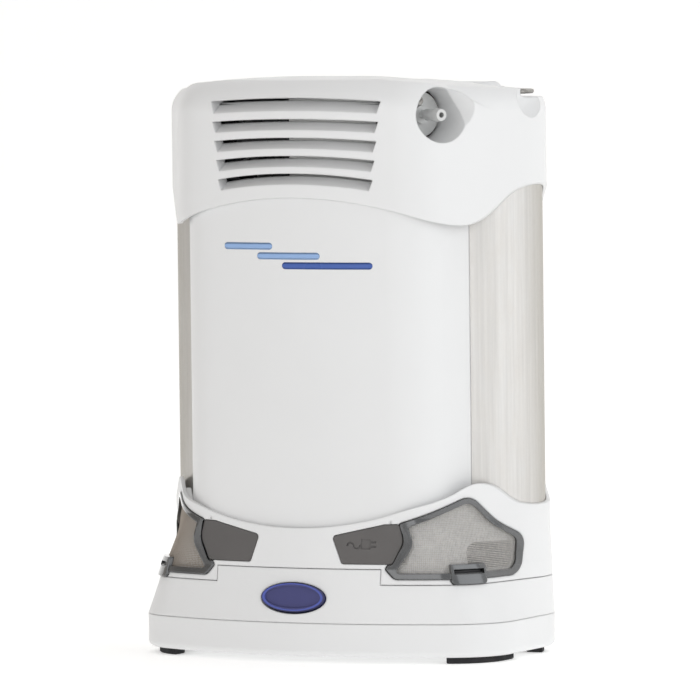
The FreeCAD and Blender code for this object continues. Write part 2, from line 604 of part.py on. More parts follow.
def make_lower_housing():
    inner = join("housing_in",
                 overlap("housing_in_low", skin("housing_in_a", -d.wall), slab("below_lip", 10, 56)),
                 overlap("housing_in_high", skin("housing_in_b", -d.lip_wall),
                         slab("above_lip", 55.9, 100)))
    hollow = cut("housing_hollow", inner, slab("housing_floor", 45.0, 48.0))
    shell = cut("housing_shell", skin("housing_out", 0.0), hollow)

    backing = overlap("pocket_backing", filter_prism("pocket_grown", FILTER_OUTER, 0.3 + d.pocket_wall, 60),
                      cut("pocket_band", skin("pocket_band_out", -0.05),
                          skin("pocket_band_in", -d.pocket_depth - d.pocket_wall)))
    pocket = cut("pocket_cut", filter_prism("pocket_hole", FILTER_OUTER, 0.3, 40),
                 skin("pocket_floor", -d.pocket_depth))
    port = filter_prism("pocket_port", FILTER_PORT, 0.0, 40)
    clip_room = cut("clip_room", filter_prism("clip_hole", FILTER_CLIP, 0.3, 60), skin("clip_floor", -1.6))

    recess_wall = overlap("recess_wall", box("recess_wall_zone", 15.6, -70, 43.4, 38.2, 40, 24.0),
                          cut("recess_wall_band", skin("recess_wall_out", -0.05),
                              skin("recess_wall_in", -d.recess_depth - d.recess_floor)))
    recess = overlap("recess_room", box("recess_room_zone", 17.4, -70, 45.2, 34.6, 40, 20.4),
                     cut("recess_band", skin("recess_band_out", -d.door_thick),
                         skin("recess_band_in", -d.recess_depth)))
    opening = cut("door_opening", door_prism("door_hole", d.door_gap, 30, 80),
                  skin("door_hole_floor", -d.door_thick - 0.2))
    pin_bore = cylinder("door_pin_bore", "door_pin_x", "door_pin_y", 43.9, "door_pin_rad + 0.06", 21.2)
    socket = cylinder("port_socket", 30, -52, 53.5, 4.15, 20, "Y")

    add_right = join("housing_add_right", backing, recess_wall)
    cut_right = join("housing_cut_right", pocket, port, clip_room, recess, opening, pin_bore, socket)
    body = join("housing_body", shell, add_right, mirror("housing_add_left", add_right),
                *[box(f"catch_arm_{i}", x, -48.2, 36.8, 6, 1.8, 8.3) for i, x in enumerate((-25, 19))],
                *[box(f"catch_ledge_{i}", x, -48.2, 36.8, 6, 3.0, 1.5) for i, x in enumerate((-25, 19))])
    zone = join("housing_zone",
                box("housing_zone_high", -SPAN / 2, -SPAN / 2, "tongue_seam_z + seam_gap / 2", SPAN, SPAN,
                    80),
                cut("housing_zone_low",
                    box("housing_zone_sides", -SPAN / 2, -SPAN / 2, "side_seam_z + seam_gap / 2",
                                            SPAN, SPAN, 10),
                    box("housing_zone_tongue", "-tongue_half - seam_gap / 2", -SPAN / 2, 30,
                        "2 * tongue_half + seam_gap", 80, 13.15)),
                *[box(f"catch_zone_{i}", x, -48.22, 36, 7, 4, 10) for i, x in enumerate((-25.5, 18.5))])
    above = wave_prism("above_rim", rim_edge(), 130.0)
    solid = cut("housing_solid", overlap("housing_zoned", body, zone), cut_right,
                mirror("housing_cut_left", cut_right),
                above, both_tubes("housing_tube_room", 67.3, 100),
                box("blade_window", -14, 26, 44, 28, 8, 6),
                panel_room("housing_panel_room"))
    return node("lower_housing", solid)


def panel_room(name):
    """The slot behind the rim that the lower edge of the front panel slips into."""
    band = cut(name + "_band", prism(name + "_out", "panel", 57.0, 90.0, 0.12),
               prism(name + "_in", "panel", 56.0, 91.0, -d.panel_wall - 0.12))
    return cut(name,
               overlap(name + "_front", band, box(name + "_zone", -SPAN / 2, -80, 50, SPAN, 80 - 10.9, 60)),
               wave_prism(name + "_low", rim_edge(-3.2), 0.0))


def make_filter_frame():
    band = cut("frame_band_solid", skin("frame_out", d.frame_proud),
               skin("frame_in", d.frame_proud - d.frame_depth))
    ring = cut("frame_ring",
               overlap("frame_plate", band, filter_prism("frame_outer", FILTER_OUTER, 0.0, 40)),
               filter_prism("frame_inner", FILTER_INNER, 0.0, 40))
    clip_band = cut("clip_band", skin("clip_out", d.frame_proud + 0.8), skin("clip_in", -0.75))
    clip = cut("frame_clip",
               overlap("clip_plate", clip_band, filter_prism("clip_outer", FILTER_CLIP, 0.0, 50)),
               cut("clip_slot_room", filter_prism("clip_slot", CLIP_SLOT, 0.0, 50),
                   skin("clip_slot_floor", -0.5)))
    right = node("right_filter_frame", cut("frame_right", join("frame_parts", ring, clip),
                                           door_prism("frame_door_room", 0.6, 30, 80)))
    node("left_filter_frame", mirror("frame_left", right))


def make_filter_mesh():
    band = cut("mesh_band", skin("mesh_out", -d.frame_depth + d.frame_proud), skin("mesh_in", -1.3))
    sheet_part = overlap("mesh_sheet", band, filter_prism("mesh_zone", FILTER_OUTER, -0.8, 40))
    right = node("right_filter_mesh",
                 cut("mesh_right", sheet_part, door_prism("mesh_door_room", 2.0, 30, 80)))
    node("left_filter_mesh", mirror("mesh_left", right))


def make_port_doors():
    band = cut("door_band", skin("door_out", 0.0), skin("door_in", -d.door_thick))
    plate = overlap("door_plate", band, door_prism("door_shape", 0.0, 30, 80))
    pin = cylinder("door_pin", "door_pin_x", "door_pin_y", 44.2, "door_pin_rad", 20.6)
    plain = join("door_right", plate, pin)
    node("left_port_door", mirror("door_left", plain))

    cord = [arc((27.4 + 3.0 * i, 53.6 + 0.4 * i), 1.5, 0 if i % 2 == 0 else math.pi,
                math.pi if i % 2 == 0 else 2 * math.pi)
            for i in range(2)]
    marks = []
    for i, curve in enumerate(cord):
        centre = curve.Center
        ring = cut(f"cord_ring_{i}", cylinder(f"cord_out_{i}", centre.x, -60, centre.y, 1.85, 20, "Y"),
                   cylinder(f"cord_in_{i}", centre.x, -60, centre.y, 1.15, 20, "Y"))
        half = box(f"cord_half_{i}", centre.x - 3, -60, centre.y if i % 2 == 0 else centre.y - 3, 6, 20, 3)
        marks.append(overlap(f"cord_{i}", ring, half))
    marks.append(box("plug_body", 32.3, -60, 52.2, 4.4, 20, 4.4))
    marks += [box(f"plug_prong_{i}", 36.6, -60, z, 2.6, 20, 0.8) for i, z in enumerate((53.0, 55.0))]
    engraved = cut("plug_mark", join("plug_shape", *marks), skin("plug_floor", -0.5))
    node("right_port_door", cut("door_right_marked", plain, engraved))


def make_ports():
    barrel = cylinder("jack_barrel", 30, -46.3, 53.5, 4.1, 14, "Y")
    flange = cylinder("jack_flange", 30, -36.8, 53.5, 5.4, 1.6, "Y")
    bore = cylinder("jack_bore", 30, -47, 53.5, 2.8, 10, "Y")
    pin = cylinder("jack_pin", 30, -44.5, 53.5, 0.9, 9, "Y")
    node("power_jack", join("jack_join", cut("jack_shell", join("jack_body", barrel, flange), bore), pin))
    shell = cylinder("service_barrel", -30, -46.3, 53.5, 4.1, 14, "Y")
    ring = cylinder("service_flange", -30, -36.8, 53.5, 5.4, 1.6, "Y")
    holes = [cylinder(f"service_pin_{i}", -30 + 1.6 * math.cos(i * 1.571), -47,
                      53.5 + 1.6 * math.sin(i * 1.571), 0.5, 6, "Y")
             for i in range(4)]
    node("service_port", cut("service_cut", join("service_body", shell, ring), *holes))


# ---------------------------------------------------------------- columns and panels
def make_tube(side, name):
    x = side * d.body_tube_x
    outer = cylinder(name + "_out", x, "body_tube_y", "tube_bottom_z", "tube_rad",
                     "tube_top_z - tube_bottom_z")
    inner = cylinder(name + "_in", x, "body_tube_y", "tube_bottom_z", "tube_rad - tube_wall",
                     "tube_top_z - tube_bottom_z")
    node(name, cut(name + "_cut", outer, inner))
    plugs, rings = [], []
    for end, (low, high, plug,
              ring_z) in enumerate(((58.5, 67.5, 67.5, 70.2), (222.0, 229.0, 216.6, 219.3))):
        head = cylinder(f"{name}_head_{end}", x, "body_tube_y", low, 28.4, high - low)
        body = cylinder(f"{name}_plug_{end}", x, "body_tube_y", plug, 30.2, 5.4)
        groove = cut(f"{name}_groove_{end}",
                     cylinder(f"{name}_groove_out_{end}", x, "body_tube_y", ring_z - 1.35, 33, 2.7),
                     cylinder(f"{name}_groove_in_{end}", x, "body_tube_y", ring_z - 1.35, 27.6, 2.7))
        port = cylinder(f"{name}_port_{end}", x, "body_tube_y", low - 1, 3.0, 20)
        plugs.append(cut(f"{name}_cap_{end}", join(f"{name}_cap_join_{end}", head, body), groove, port))
        rings.append(torus(f"{name}_ring_{end}", x, "body_tube_y", ring_z, 28.95, 1.3))
    core = cylinder(name + "_core", x, "body_tube_y", 73.1, 30.2, 143.3)
    return plugs, rings, core


def make_columns():
    right = make_tube(1, "right_sieve_tube")
    left = make_tube(-1, "left_sieve_tube")
    node("sieve_caps_lower", group("caps_lower", right[0][0], left[0][0]))
    node("sieve_caps_upper", group("caps_upper", right[0][1], left[0][1]))
    node("sieve_o_rings", group("sieve_rings", *right[1], *left[1]))
    node("sieve_media", group("sieve_cores", right[2], left[2]))


def panel_shell(name, level, offset, low_y, size_y):
    walls = cut(name + "_walls", prism(name + "_out", level, 50.0, 225.0, offset),
                prism(name + "_in", level, 50.0, 225.0, offset - d.panel_wall))
    front = box(name + "_zone", -SPAN / 2, low_y, 50, SPAN, size_y, 180)
    return cut(name, overlap(name + "_part", walls, front), wave_prism(name + "_top", cap_edge(2.0), 300.0),
               wave_prism(name + "_low", rim_edge(-3.0), 0.0), both_tubes(name + "_tubes", 40, 240, 0.2))


def make_panels():
    node("front_panel", panel_shell("front_shell", "panel", 0.0, -80.0, 80 + d.panel_side_y))
    vents = [box(f"vent_{i}", -30, 40, 84 + 7.0 * i, 60, 20, 3.2) for i in range(8)]
    bores = [cylinder(f"rear_bore_{i}", x, 44, z, 1.25, 10, "Y") for i, (x, z) in enumerate(REAR_SCREWS)]
    node("rear_panel",
         cut("rear_vented", panel_shell("rear_shell", "body", -d.panel_inset, 40.0, 40.0), *vents, *bores))


# ---------------------------------------------------------------- top cap
def front_setback(x):
    """How far the front arc of the body falls back at the distance x from its middle."""
    return d.body_front_rad - math.sqrt(d.body_front_rad ** 2 - x ** 2)


def grille_slot(name, top_z, half, arch):
    """One slot seen from the front: arched edges and slanted ends, swept inwards and upwards.

    The sweep climbs where the front falls back, so the ends are drawn that much lower.
    """
    rise = math.tan(math.radians(d.slot_tilt))
    low_half = half - d.slot_end_slant
    low_z = top_z - d.slot_height
    high_end = top_z - rise * front_setback(half)
    low_end = low_z - rise * front_setback(low_half)
    curve_top = Part.Arc(V(-half, high_end, 0), V(0, top_z + arch, 0), V(half, high_end, 0))
    curve_low = Part.Arc(V(-low_half, low_end, 0), V(0, low_z + arch, 0), V(low_half, low_end, 0))
    geometry = [curve_top, Part.LineSegment(V(half, high_end, 0), V(low_half, low_end, 0)), curve_low,
                Part.LineSegment(V(-low_half, low_end, 0), V(-half, high_end, 0))]
    sketch = plain_sketch(name + "_s", geometry, upright(), (0, d.body_front_y, 0))
    return extrude(name, sketch, (0, 1, rise), 12.0 * math.hypot(1, rise), 3.0)


def brow_wedge():
    """The raised front of the cap: the outline carried up to the brow, fading out sideways and backwards."""
    body = fillet("brow_round", prism("brow_out", "body", 240.0, "cap_brow_z"), 15.4,
                  lambda e: e.BoundBox.ZMin > d.cap_brow_z - 0.1)
    top, deck = d.cap_brow_z, d.cap_deck_z
    across = [(0, top + 0.1), (16, top), (28, top - 0.3), (38, top - 1.0), (46, top - 1.7), (52, top - 2.2),
              (58, deck + 0.8), (64, deck - 0.9), (70, deck - 4.0), (76, deck - 8.0), (84, deck - 14.0),
              (96, deck - 22.0)]
    front = wave_prism("brow_front", across, 220.0)
    fall = [(-60, top + 0.3), (-10, top + 0.1), (-2, top - 0.9), (4, deck + 1.0), (9, deck - 0.5)]
    curve = Part.BSplineCurve()
    curve.interpolate([V(y, z, 0) for y, z in fall])
    corners = [V(*fall[-1], 0), V(fall[-1][0], 230, 0), V(-60, 230, 0), V(*fall[0], 0)]
    side = [curve] + [Part.LineSegment(a, b) for a, b in zip(corners, corners[1:])]
    sketch = plain_sketch("brow_side_s", side, upright(90), (SPAN / 2, 0, 0))
    return overlap("brow", body, front, extrude("brow_side", sketch, (-1, 0, 0), SPAN))


def shoulder_profile():
    """The top of the cap seen from the front: level in the middle, falling slightly to the sides."""
    deck = d.cap_deck_z
    return [(0, deck + 0.6), (40, deck + 0.5), (58, deck + 0.1), (64, deck - 0.6), (70, deck - 1.4),
            (76, deck - 1.9),
            (82, deck - 2.3), (88, deck - 3.0), (96, deck - 4.5)]


def terrace(name, side, grow, corner):
    """The lowered rear corner of the cap that gives the strap ring room."""
    low_x = d.terrace_x - grow if side > 0 else -d.terrace_x + grow - 60
    room = box(name + "_box", low_x, d.terrace_y - grow, d.terrace_z - grow, 60, 60, 40)
    if not corner:
        return room
    inner_x = side * d.terrace_x
    return fillet(name, room, corner,
                  lambda e: abs(e.BoundBox.Center.x - inner_x) < 0.1 and e.BoundBox.YLength > 50
                  and e.BoundBox.ZMax < d.terrace_z + 1
                  or e.BoundBox.ZLength > 30 and abs(e.BoundBox.Center.x - inner_x) < 0.1
                  and e.BoundBox.YMax < 20
                  or e.BoundBox.XLength > 50 and e.BoundBox.ZMax < d.terrace_z + 1 and e.BoundBox.YMax < 20)


def outlet_axis():
    angle = math.radians(d.outlet_turn)
    return V(math.sin(angle), -math.cos(angle), 0)


def outlet_cone(name, grow, start):
    """The flared outlet pocket, starting start millimetres out from its floor."""
    axis = outlet_axis()
    base = V(d.outlet_x, d.outlet_y, d.outlet_z) + axis * start
    slope = (d.outlet_mouth_rad - d.outlet_floor_rad) / d.outlet_cup_depth
    length = d.outlet_cup_depth + 14.0
    return cone(name, base.x, base.y, base.z, d.outlet_floor_rad + grow + slope * start,
                d.outlet_floor_rad + grow + slope * (start + length), length, tuple(axis))


def outlet_flare(name, grow):
    """The wide bevel that opens the upper rear side of the outlet pocket towards the deck."""
    axis = outlet_axis()
    aside = V(-axis.y, axis.x, 0)
    base = V(d.outlet_x, d.outlet_y, d.outlet_z) + axis * 13.0 + aside * d.flare_aside + V(0, 0, d.flare_up)
    return cone(name, base.x, base.y, base.z, d.flare_rad - 6.0 + grow, d.flare_rad + 4.0 + grow, 14.0,
                tuple(axis))


def make_top_cap():
    high = fillet("cap_round", prism("cap_out", "body", 230.0, "cap_deck_z"), 13.0,
                  lambda e: e.BoundBox.ZMin > d.cap_deck_z - 0.1)
    shaped = cut("cap_high",
                 overlap("cap_shoulders", high, wave_prism("shoulders", shoulder_profile(), 200.0)),
                 terrace("terrace_r", 1, 0.0, 4.0), terrace("terrace_l", -1, 0.0, 4.0))
    low = fillet("cap_low_round", prism("cap_low_out", "body", "cap_floor_z", "terrace_z"), 5.5,
                 lambda e: e.BoundBox.ZMin > d.terrace_z - 0.1)
    outer = join("cap_outer", shaped, low, brow_wedge())
    hollow_high = cut("cap_hollow_top", prism("cap_hollow_high", "body", 225.0, 258.2, -7.5),
                      terrace("terrace_under_r", 1, 3.0, 0.0), terrace("terrace_under_l", -1, 3.0, 0.0))
    hollow = join("cap_hollow", prism("cap_hollow_low", "body", "cap_floor_z - 1", "cap_step_z", -1.8),
                  hollow_high, prism("cap_hollow_mid", "body", 225.0, 253.8, -3.0))
    wall = cut("grille_wall",
               overlap("grille_block", outer, box("grille_zone", -50, -60, 213.5, 100, 40, 46)),
               prism("grille_in", "body", 211.0, 260.0, -d.grille_depth))
    tray = box("deck_tray", "-deck_half_x - 2.5", "deck_low_y - 2.5", 256.6, "2 * deck_half_x + 5", 47, 4)
    cup = overlap("outlet_cup", outer, join("outlet_cup_cones", outlet_cone("outlet_cup_cone", 2.0, -2.5),
                                            outlet_flare("outlet_cup_flare", 2.2)))
    scoops, scoop_walls, bores = [], [], []
    for side in (-1, 1):
        x = side * d.scoop_x
        tag = "r" if side > 0 else "l"
        scoop_walls.append(overlap("scoop_wall_" + tag, outer,
                                   sphere("scoop_ball_" + tag, x, "scoop_y", "scoop_z", "scoop_rad + 2")))
        scoop_walls.append(fillet("ring_lug_" + tag,
                                  box("ring_lug_box_" + tag, side * d.ring_x - 2.8, "ring_y - 3", 254.0,
                                                         5.6, 6, "ring_z + 2.4 - 254"), 2.0,
                                  lambda e: e.BoundBox.YLength > 5 and e.BoundBox.ZMin > 258))
        scoops.append(sphere("scoop_" + tag, x, "scoop_y", "scoop_z", "scoop_rad"))
        bores.append(cylinder("ring_bore_" + tag, side * d.ring_x, "ring_y - 5", "ring_z",
                              "ring_wire + 0.06", 10, "Y"))
    walls = join("cap_walls", cut("cap_shell", outer, hollow), wall, tray, cup, *scoop_walls)
    slots = []
    for i in range(int(d.slot_count)):
        t = i / (d.slot_count - 1)
        slots.append(grille_slot(f"slot_{i}", d.slot_top_z + t * (d.slot_low_z - d.slot_top_z),
                                 d.slot_top_half + t * (d.slot_low_half - d.slot_top_half),
                                 d.slot_top_arch + t * t * (d.slot_low_arch - d.slot_top_arch)))
    recess = fillet("deck_recess",
                    box("deck_recess_box", "-deck_half_x", "deck_low_y", 259.6, "2 * deck_half_x",
                                       "deck_high_y - deck_low_y", 12), d.deck_corner,
                    lambda e: e.BoundBox.ZLength > 11)
    disc_room = outlet_cylinder("outlet_disc_room", -3.0, 6.0, 4.0)
    solid = cut("cap_solid", walls, wave_prism("below_cap", cap_edge(), 150.0),
                outlet_cone("outlet_pocket", 0.0, 0.0),
                outlet_flare("outlet_flare", 0.0), recess, disc_room, *scoops, *bores, *slots,
                box("cap_cable_slot", -20, 2, 250, 12, 4, 20), both_tubes("cap_tube_room", 180, 224, 0.15))
    return node("top_cap", solid)


def outlet_cylinder(name, start, radius, length):
    base = V(d.outlet_x, d.outlet_y, d.outlet_z) + outlet_axis() * start
    return cylinder(name, base.x, base.y, base.z, radius, length, tuple(outlet_axis()))


def make_outlet():
    disc = outlet_cylinder("disc_plate", 0.05, d.outlet_disc_rad, d.outlet_disc_thick)
    spigot = outlet_cylinder("disc_spigot", -12.0, 5.9, 12.1)
    bore = outlet_cylinder("disc_bore", -13.0, 1.7, 20.0)
    axis = outlet_axis()
    up = V(0, 0, 1)
    screw_at = V(d.outlet_x, d.outlet_y, d.outlet_z) + up * 6.2
    hole = cylinder("disc_screw_hole", *screw_at, 1.0, 8, tuple(axis))
    sink = cylinder("disc_screw_sink", *(screw_at + axis * 1.6), 2.0, 4, tuple(axis))
    node("outlet_disc", cut("disc_cut", join("disc_join", disc, spigot), bore, hole, sink))

    start = d.outlet_disc_thick + 0.05
    hex_base = outlet_cylinder("barb_collar", start, 4.2, 2.6)
    stem = outlet_cylinder("barb_stem", start + 2.6, 2.0, d.barb_length - 2.6)
    root = outlet_cylinder("barb_root", -6.0, 1.65, start + 6.1)
    slots = []
    slope = tuple(axis)
    for i, (foot, tip) in enumerate(((2.7, 2.1), (2.7, 2.1), (3.2, 2.7))):
        base = V(d.outlet_x, d.outlet_y, d.outlet_z) + axis * (start + d.barb_length - 11.2 + 4.0 * i)
        slots.append(cone(f"barb_tooth_{i}", base.x, base.y, base.z, foot, tip, 3.2, slope))
    node("outlet_barb", cut("barb_cut", join("barb_join", hex_base, stem, root, *slots),
                            outlet_cylinder("barb_bore", -7.0, "outlet_bore_rad", 40.0)))
    head = cylinder("outlet_screw_head", *(screw_at + axis * 1.62), 1.9, 1.2, tuple(axis))
    shank = cylinder("outlet_screw_shank", *(screw_at + axis * 0.06), 0.95, 1.7, tuple(axis))
    drive = moved_box("outlet_drive", screw_at + axis * 2.3, along(tuple(axis)), (-0.25, -1.3, 0),
                      (0.5, 2.6, 3))
    node("outlet_screw", cut("outlet_screw_cut", join("outlet_screw_join", head, shank), drive))


def make_strap_rings():
    r = d.ring_wire
    reach, half = d.ring_reach, d.ring_half
    bend = 4.0
    hub = cylinder("ring_bar", "ring_x", f"ring_y - {half}", "ring_z", r, 2 * half, "Y")
    legs = [cylinder(f"ring_leg_{i}", "ring_x", f"ring_y + {s * half}", "ring_z", r, reach - bend, "X")
            for i, s in enumerate((-1, 1))]
    ball = [sphere(f"ring_knee_{i}", "ring_x", f"ring_y + {s * half}", "ring_z", r) for i,
            s in enumerate((-1, 1))]
    far = cylinder("ring_far", f"ring_x + {reach}", f"ring_y - {half - bend}", "ring_z", r,
                   2 * (half - bend), "Y")
    corners = []
    for i, s in enumerate((-1, 1)):
        corner = doc.addObject("Part::Torus", f"ring_corner_{i}")
        corner.Radius1 = bend
        corner.Radius2 = r
        corner.Angle3 = 90
        place(corner, f"ring_x + {reach - bend}", f"ring_y + {s * (half - bend)}", "ring_z",
              Rotation(V(0, 0, 1), 0 if s > 0 else -90))
        corners.append(corner)
    right = node("right_strap_ring", join("ring_right", hub, *legs, *ball, far, *corners))
    node("left_strap_ring", mirror("ring_left", right))


# ---------------------------------------------------------------- control panel
KEYS = {"power_button": (-31.0, 12.0, 7.5), "flow_up_button": (16.0, 21.0, 6.0),
        "flow_down_button": (16.0, 3.0, 6.0), "gauge_button": (33.5, 12.0, 5.5)}
LAMPS = [(-14.0 + 5.0 * i, 24.0) for i in range(4)] + [(-14.0 + 5.0 * i, 0.0) for i in range(4)]


def make_control_panel():
    plate = fillet("panel_plate",
                   box("panel_box", "-deck_half_x + 0.15", "deck_low_y + 0.15", 259.6,
                       "2 * deck_half_x - 0.3",
                                      "deck_high_y - deck_low_y - 0.3", "deck_thick"), d.deck_corner - 0.15,
                   lambda e: e.BoundBox.ZLength > 2)
    holes = [cylinder(name + "_hole", x, y, 259.4, radius + d.key_gap, 4) for name,
             (x, y, radius) in KEYS.items()]
    lamps = [cylinder(f"lamp_hole_{i}", x, y, 259.4, 1.35, 4) for i, (x, y) in enumerate(LAMPS)]
    window = box("display_hole", -16.2, 6.4, 259.4, 22.4, 11.2, 4)
    node("control_panel", cut("panel_cut", plate, *holes, *lamps, window))
    for name, (x, y, radius) in KEYS.items():
        key = cylinder(name + "_post", x, y, 260.3, radius, 2.2)
        dish = sphere(name + "_dish", x, y, 262.5 + 29.5, 30.0)
        node(name,
             cut(name + "_key", fillet(name + "_round", key, 0.5, lambda e: e.BoundBox.ZMin > 262.4), dish))
    node("indicator_lenses", group("lens_group", *[cylinder(f"lens_{i}", x, y, 259.6, 1.3, 2.3)
                                                   for i, (x, y) in enumerate(LAMPS)]))
    node("display_window", box("display_glass", -16.1, 6.5, 259.6, 22.2, 11.0, 2.1))
    board = box("control_pcb", -42, -6, 247.0, 84, 40, 1.6)
    node("control_board", cut("control_board_cut", board, *[cylinder(f"board_hole_{i}", x, y, 246, 1.6, 4)
                              for i, (x, y) in enumerate([(-38, -2), (38, -2), (-38, 30), (38, 30)])]))
    node("alarm_buzzer",
         cut("buzzer_cut", cylinder("buzzer_body", 0, 14, 240.0, 9, 6.9),
             cylinder("buzzer_port", 0, 14, 239, 1.5, 3)))


# ---------------------------------------------------------------- fan and baffle
def make_fan():
    x, z, half = -26.0, 235.4, 18.0
    frame = box("fan_box", x - half, -37.2, z - half, 2 * half, 10, 2 * half)
    bore = cylinder("fan_bore", x, -38, z, 17.2, 12, "Y")
    ring = cut("fan_ring", frame, bore,
               *[cylinder(f"fan_hole_{i}", x + sx * 15.4, -38, z + sz * 15.4, 1.2, 12, "Y")
                                          for i,
                                          (sx, sz) in enumerate(((-1, -1), (1, -1), (-1, 1), (1, 1)))])
    hub = cylinder("fan_stator", x, -28.8, z, 6.5, 1.6, "Y")
    arms = [moved_box(f"fan_arm_{i}", (x, -28.8, z), Rotation(V(0, 1, 0), 120 * i + 30), (5, 0, -1),
                      (12.6, 1.6, 2)) for i in range(3)]
    pin = cylinder("fan_shaft", x, -33.2, z, 1.0, 4.6, "Y")
    node("fan_frame", join("fan_frame_join", ring, hub, *arms, pin))
    disc = cylinder("rotor_hub", x, -36.8, z, 7.0, 7.4, "Y")
    blades = []
    for i in range(7):
        turn = Rotation(V(0, 1, 0), 360 / 7 * i) * Rotation(V(1, 0, 0), 38)
        blades.append(moved_box(f"blade_{i}", (x, -33.1, z), turn, (6, -0.6, -4.2), (11.2, 1.2, 8.4)))
    limit = cylinder("rotor_limit", x, -36.8, z, 16.5, 7.4, "Y")
    wheel = overlap("rotor_wheel", join("rotor_join", disc, *blades), limit)
    node("fan_rotor", cut("rotor_cut", wheel, cylinder("rotor_bore", x, -33.8, z, 1.05, 5.2, "Y")))
    plate = box("baffle_plate", -7.0, -38.5, 214.0, 44.0, 1.5, 42.0)
    foot = box("baffle_foot", -7.0, -38.5, 214.0, 44.0, 12.0, 1.5)
    node("air_baffle", join("baffle_join", plate, foot))


# ---------------------------------------------------------------- compressor and pneumatics
def make_compressor():
    z = d.crank_z
    mounts = [cylinder(f"mount_{i}", sx * 16, sy + 12, 48.0, 5.0, 8.0) for i, (sx, sy) in
              enumerate(((-1, -22), (1, -22), (-1, 22), (1, 22)))]
    node("compressor_mounts", group("mount_group", *mounts))
    bed = box("case_bed", -22, -15, 56.0, 44, 54, 4.0)
    crank = cylinder("case_drum", 0, -12, z, 17.0, 26, "Y")
    legs = box("case_leg", -12, -12, 59.0, 24, 22, 14)
    deck = box("case_deck", -17, -16, 100, 34, 29.5, 7)
    room = cylinder("case_room", 0, -9.0, z, 13.0, 23.1, "Y")
    throat = cylinder("case_throat", 0, -1, z, 9.5, 22)
    bearing = cylinder("case_bearing", 0, -13, z, 3.05, 5, "Y")
    node("crankcase", cut("case_cut", join("case_join", bed, crank, legs, deck), room, throat, bearing))
    node("compressor_motor",
         cut("motor_cut", join("motor_join", cylinder("motor_can", 0, 14.1, z, "motor_rad", 26, "Y"),
                                                   cylinder("motor_end", 0, 40.1, z, 9.0, 3.0, "Y")),
                                 cylinder("motor_room", 0, 14.1, z, 20.0, 24, "Y"),
                                 cylinder("motor_bearing", 0, 36, z, 3.05, 6.0, "Y")))
    shaft = cylinder("rotor_shaft", 0, -11.9, z, 3.0, 53.0, "Y")
    magnet = cylinder("rotor_drum", 0, 16.5, z, 18.0, 19.0, "Y")
    web = cylinder("crank_web", 0, -8.5, z, 9.0, 4.0, "Y")
    throw = cylinder("crank_pin", 0, -4.5, z + d.crank_throw, 3.0, 7.0, "Y")
    node("motor_rotor", join("rotor_parts", shaft, magnet, web, throw))
    rings = [torus(f"cylinder_fin_{i}", 0, -1, 111.5 + 4.0 * i, 14.5, 1.2) for i in range(4)]
    barrel = cut("barrel_cut", join("barrel_join", cylinder("barrel", 0, -1, 107.0, 15.0, 19.0), *rings),
                 cylinder("barrel_bore", 0, -1, 106, 12.0, 22))
    node("compressor_cylinder", barrel)
    node("compressor_piston", cut("piston_cut", cylinder("piston_crown", 0, -1, 114.0, 11.94, 8.0),
                                  cylinder("piston_skirt", 0, -1, 113.0, 9.5, 6.0)))
    head = box("head_block", -16, -17, 126.05, 32, 32, 9)
    fins = [box(f"head_fin_{i}", -16 + 5.0 * i, -17, 135, 2.0, 32, 4.5) for i in range(7)]
    node("compressor_head", join("head_join", head, *fins))


def make_pneumatics():
    node("product_tank",
         join("tank_join", cylinder("tank_wall", -12.5, -35.2, 69.0, 9.5, 89),
              sphere("tank_top", -12.5, -35.2, 158, 9.5),
                              cylinder("tank_neck", -12.5, -35.2, 160, 2.6, 12)))
    node("intake_muffler", join("muffler_join", cylinder("muffler_wall", 12.5, -35.2, 69.0, 9.5, 53),
                                cone("muffler_top", 12.5, -35.2, 122, 9.5, 3.0, 8)))
    block = box("manifold_block", -24, -22, 176.0, 48, 44, 16)
    ports = [cylinder(f"manifold_port_{i}", -18 + 12.0 * i, -23, 184, 2.2, 12, "Y") for i in range(4)]
    node("valve_manifold", cut("manifold_cut", block, *ports))
    coils = []
    for i in range(4):
        x = -18 + 12.0 * i
        coils.append(join(f"valve_{i}", box(f"valve_coil_{i}", x - 5, -8, 192.05, 10, 16, 13),
                          cylinder(f"valve_cap_{i}", x, 0, 205, 4, 3)))
    node("solenoid_valves", group("valve_group", *coils))
    bracket = join("bracket_join", box("bracket_plate", -25, -24, 172.0, 50, 48, 3.95),
                   box("bracket_back", -25, 44.5, 68, 50, 2.5, 136),
                   box("bracket_arm", -25, 20, 172.0, 50, 26, 3.95))
    node("chassis_bracket",
         cut("bracket_cut", bracket, *[cylinder(f"bracket_bore_{i}", x, 43, z, 1.2, 6, "Y")
                                                           for i, (x, z) in enumerate(REAR_SCREWS)]))
    feed = [cylinder("hose_a", 0, -1, 139.6, 3.0, 32.2), cylinder("hose_b", -12.5, -35.2, 172.05, 3.2, 28)]
    node("air_hoses", group("hose_group", *feed))


# ---------------------------------------------------------------- screws
def screw(name, x, y, z, head, shank, length, axis="Z"):
    """A pan-head screw pushed in along axis, its head at the start."""
    step = {"Z": (0, 0, 1), "Y": (0, -1, 0)}[axis]
    cap = cylinder(name + "_head", x, y, z, head, 2.0, step)
    at = [v + 2.0 * s for v, s in zip((x, y, z), step)]
    body = cylinder(name + "_shank", *at, shank, length, step)
    drive = moved_box(name + "_drive", (x, y, z), along(step), (-0.4, -head * 0.7, -1),
                      (0.8, 1.4 * head, 1.9))
    return cut(name, join(name + "_join", cap, body), drive)


def make_screws():
    base = [screw(f"base_screw_{i}", x, y, 2.55, 3.1, 1.15, 22.0) for i, (x, y) in
            enumerate(BASE_SCREWS)]
    node("battery_screws", group("base_screws", *base))
    rear = [screw(f"rear_screw_{i}", x, 51.8, z, 2.8, 1.15, 5.0, "Y") for i, (x, z) in
            enumerate(REAR_SCREWS)]
    node("rear_screws", group("rear_screw_group", *rear))


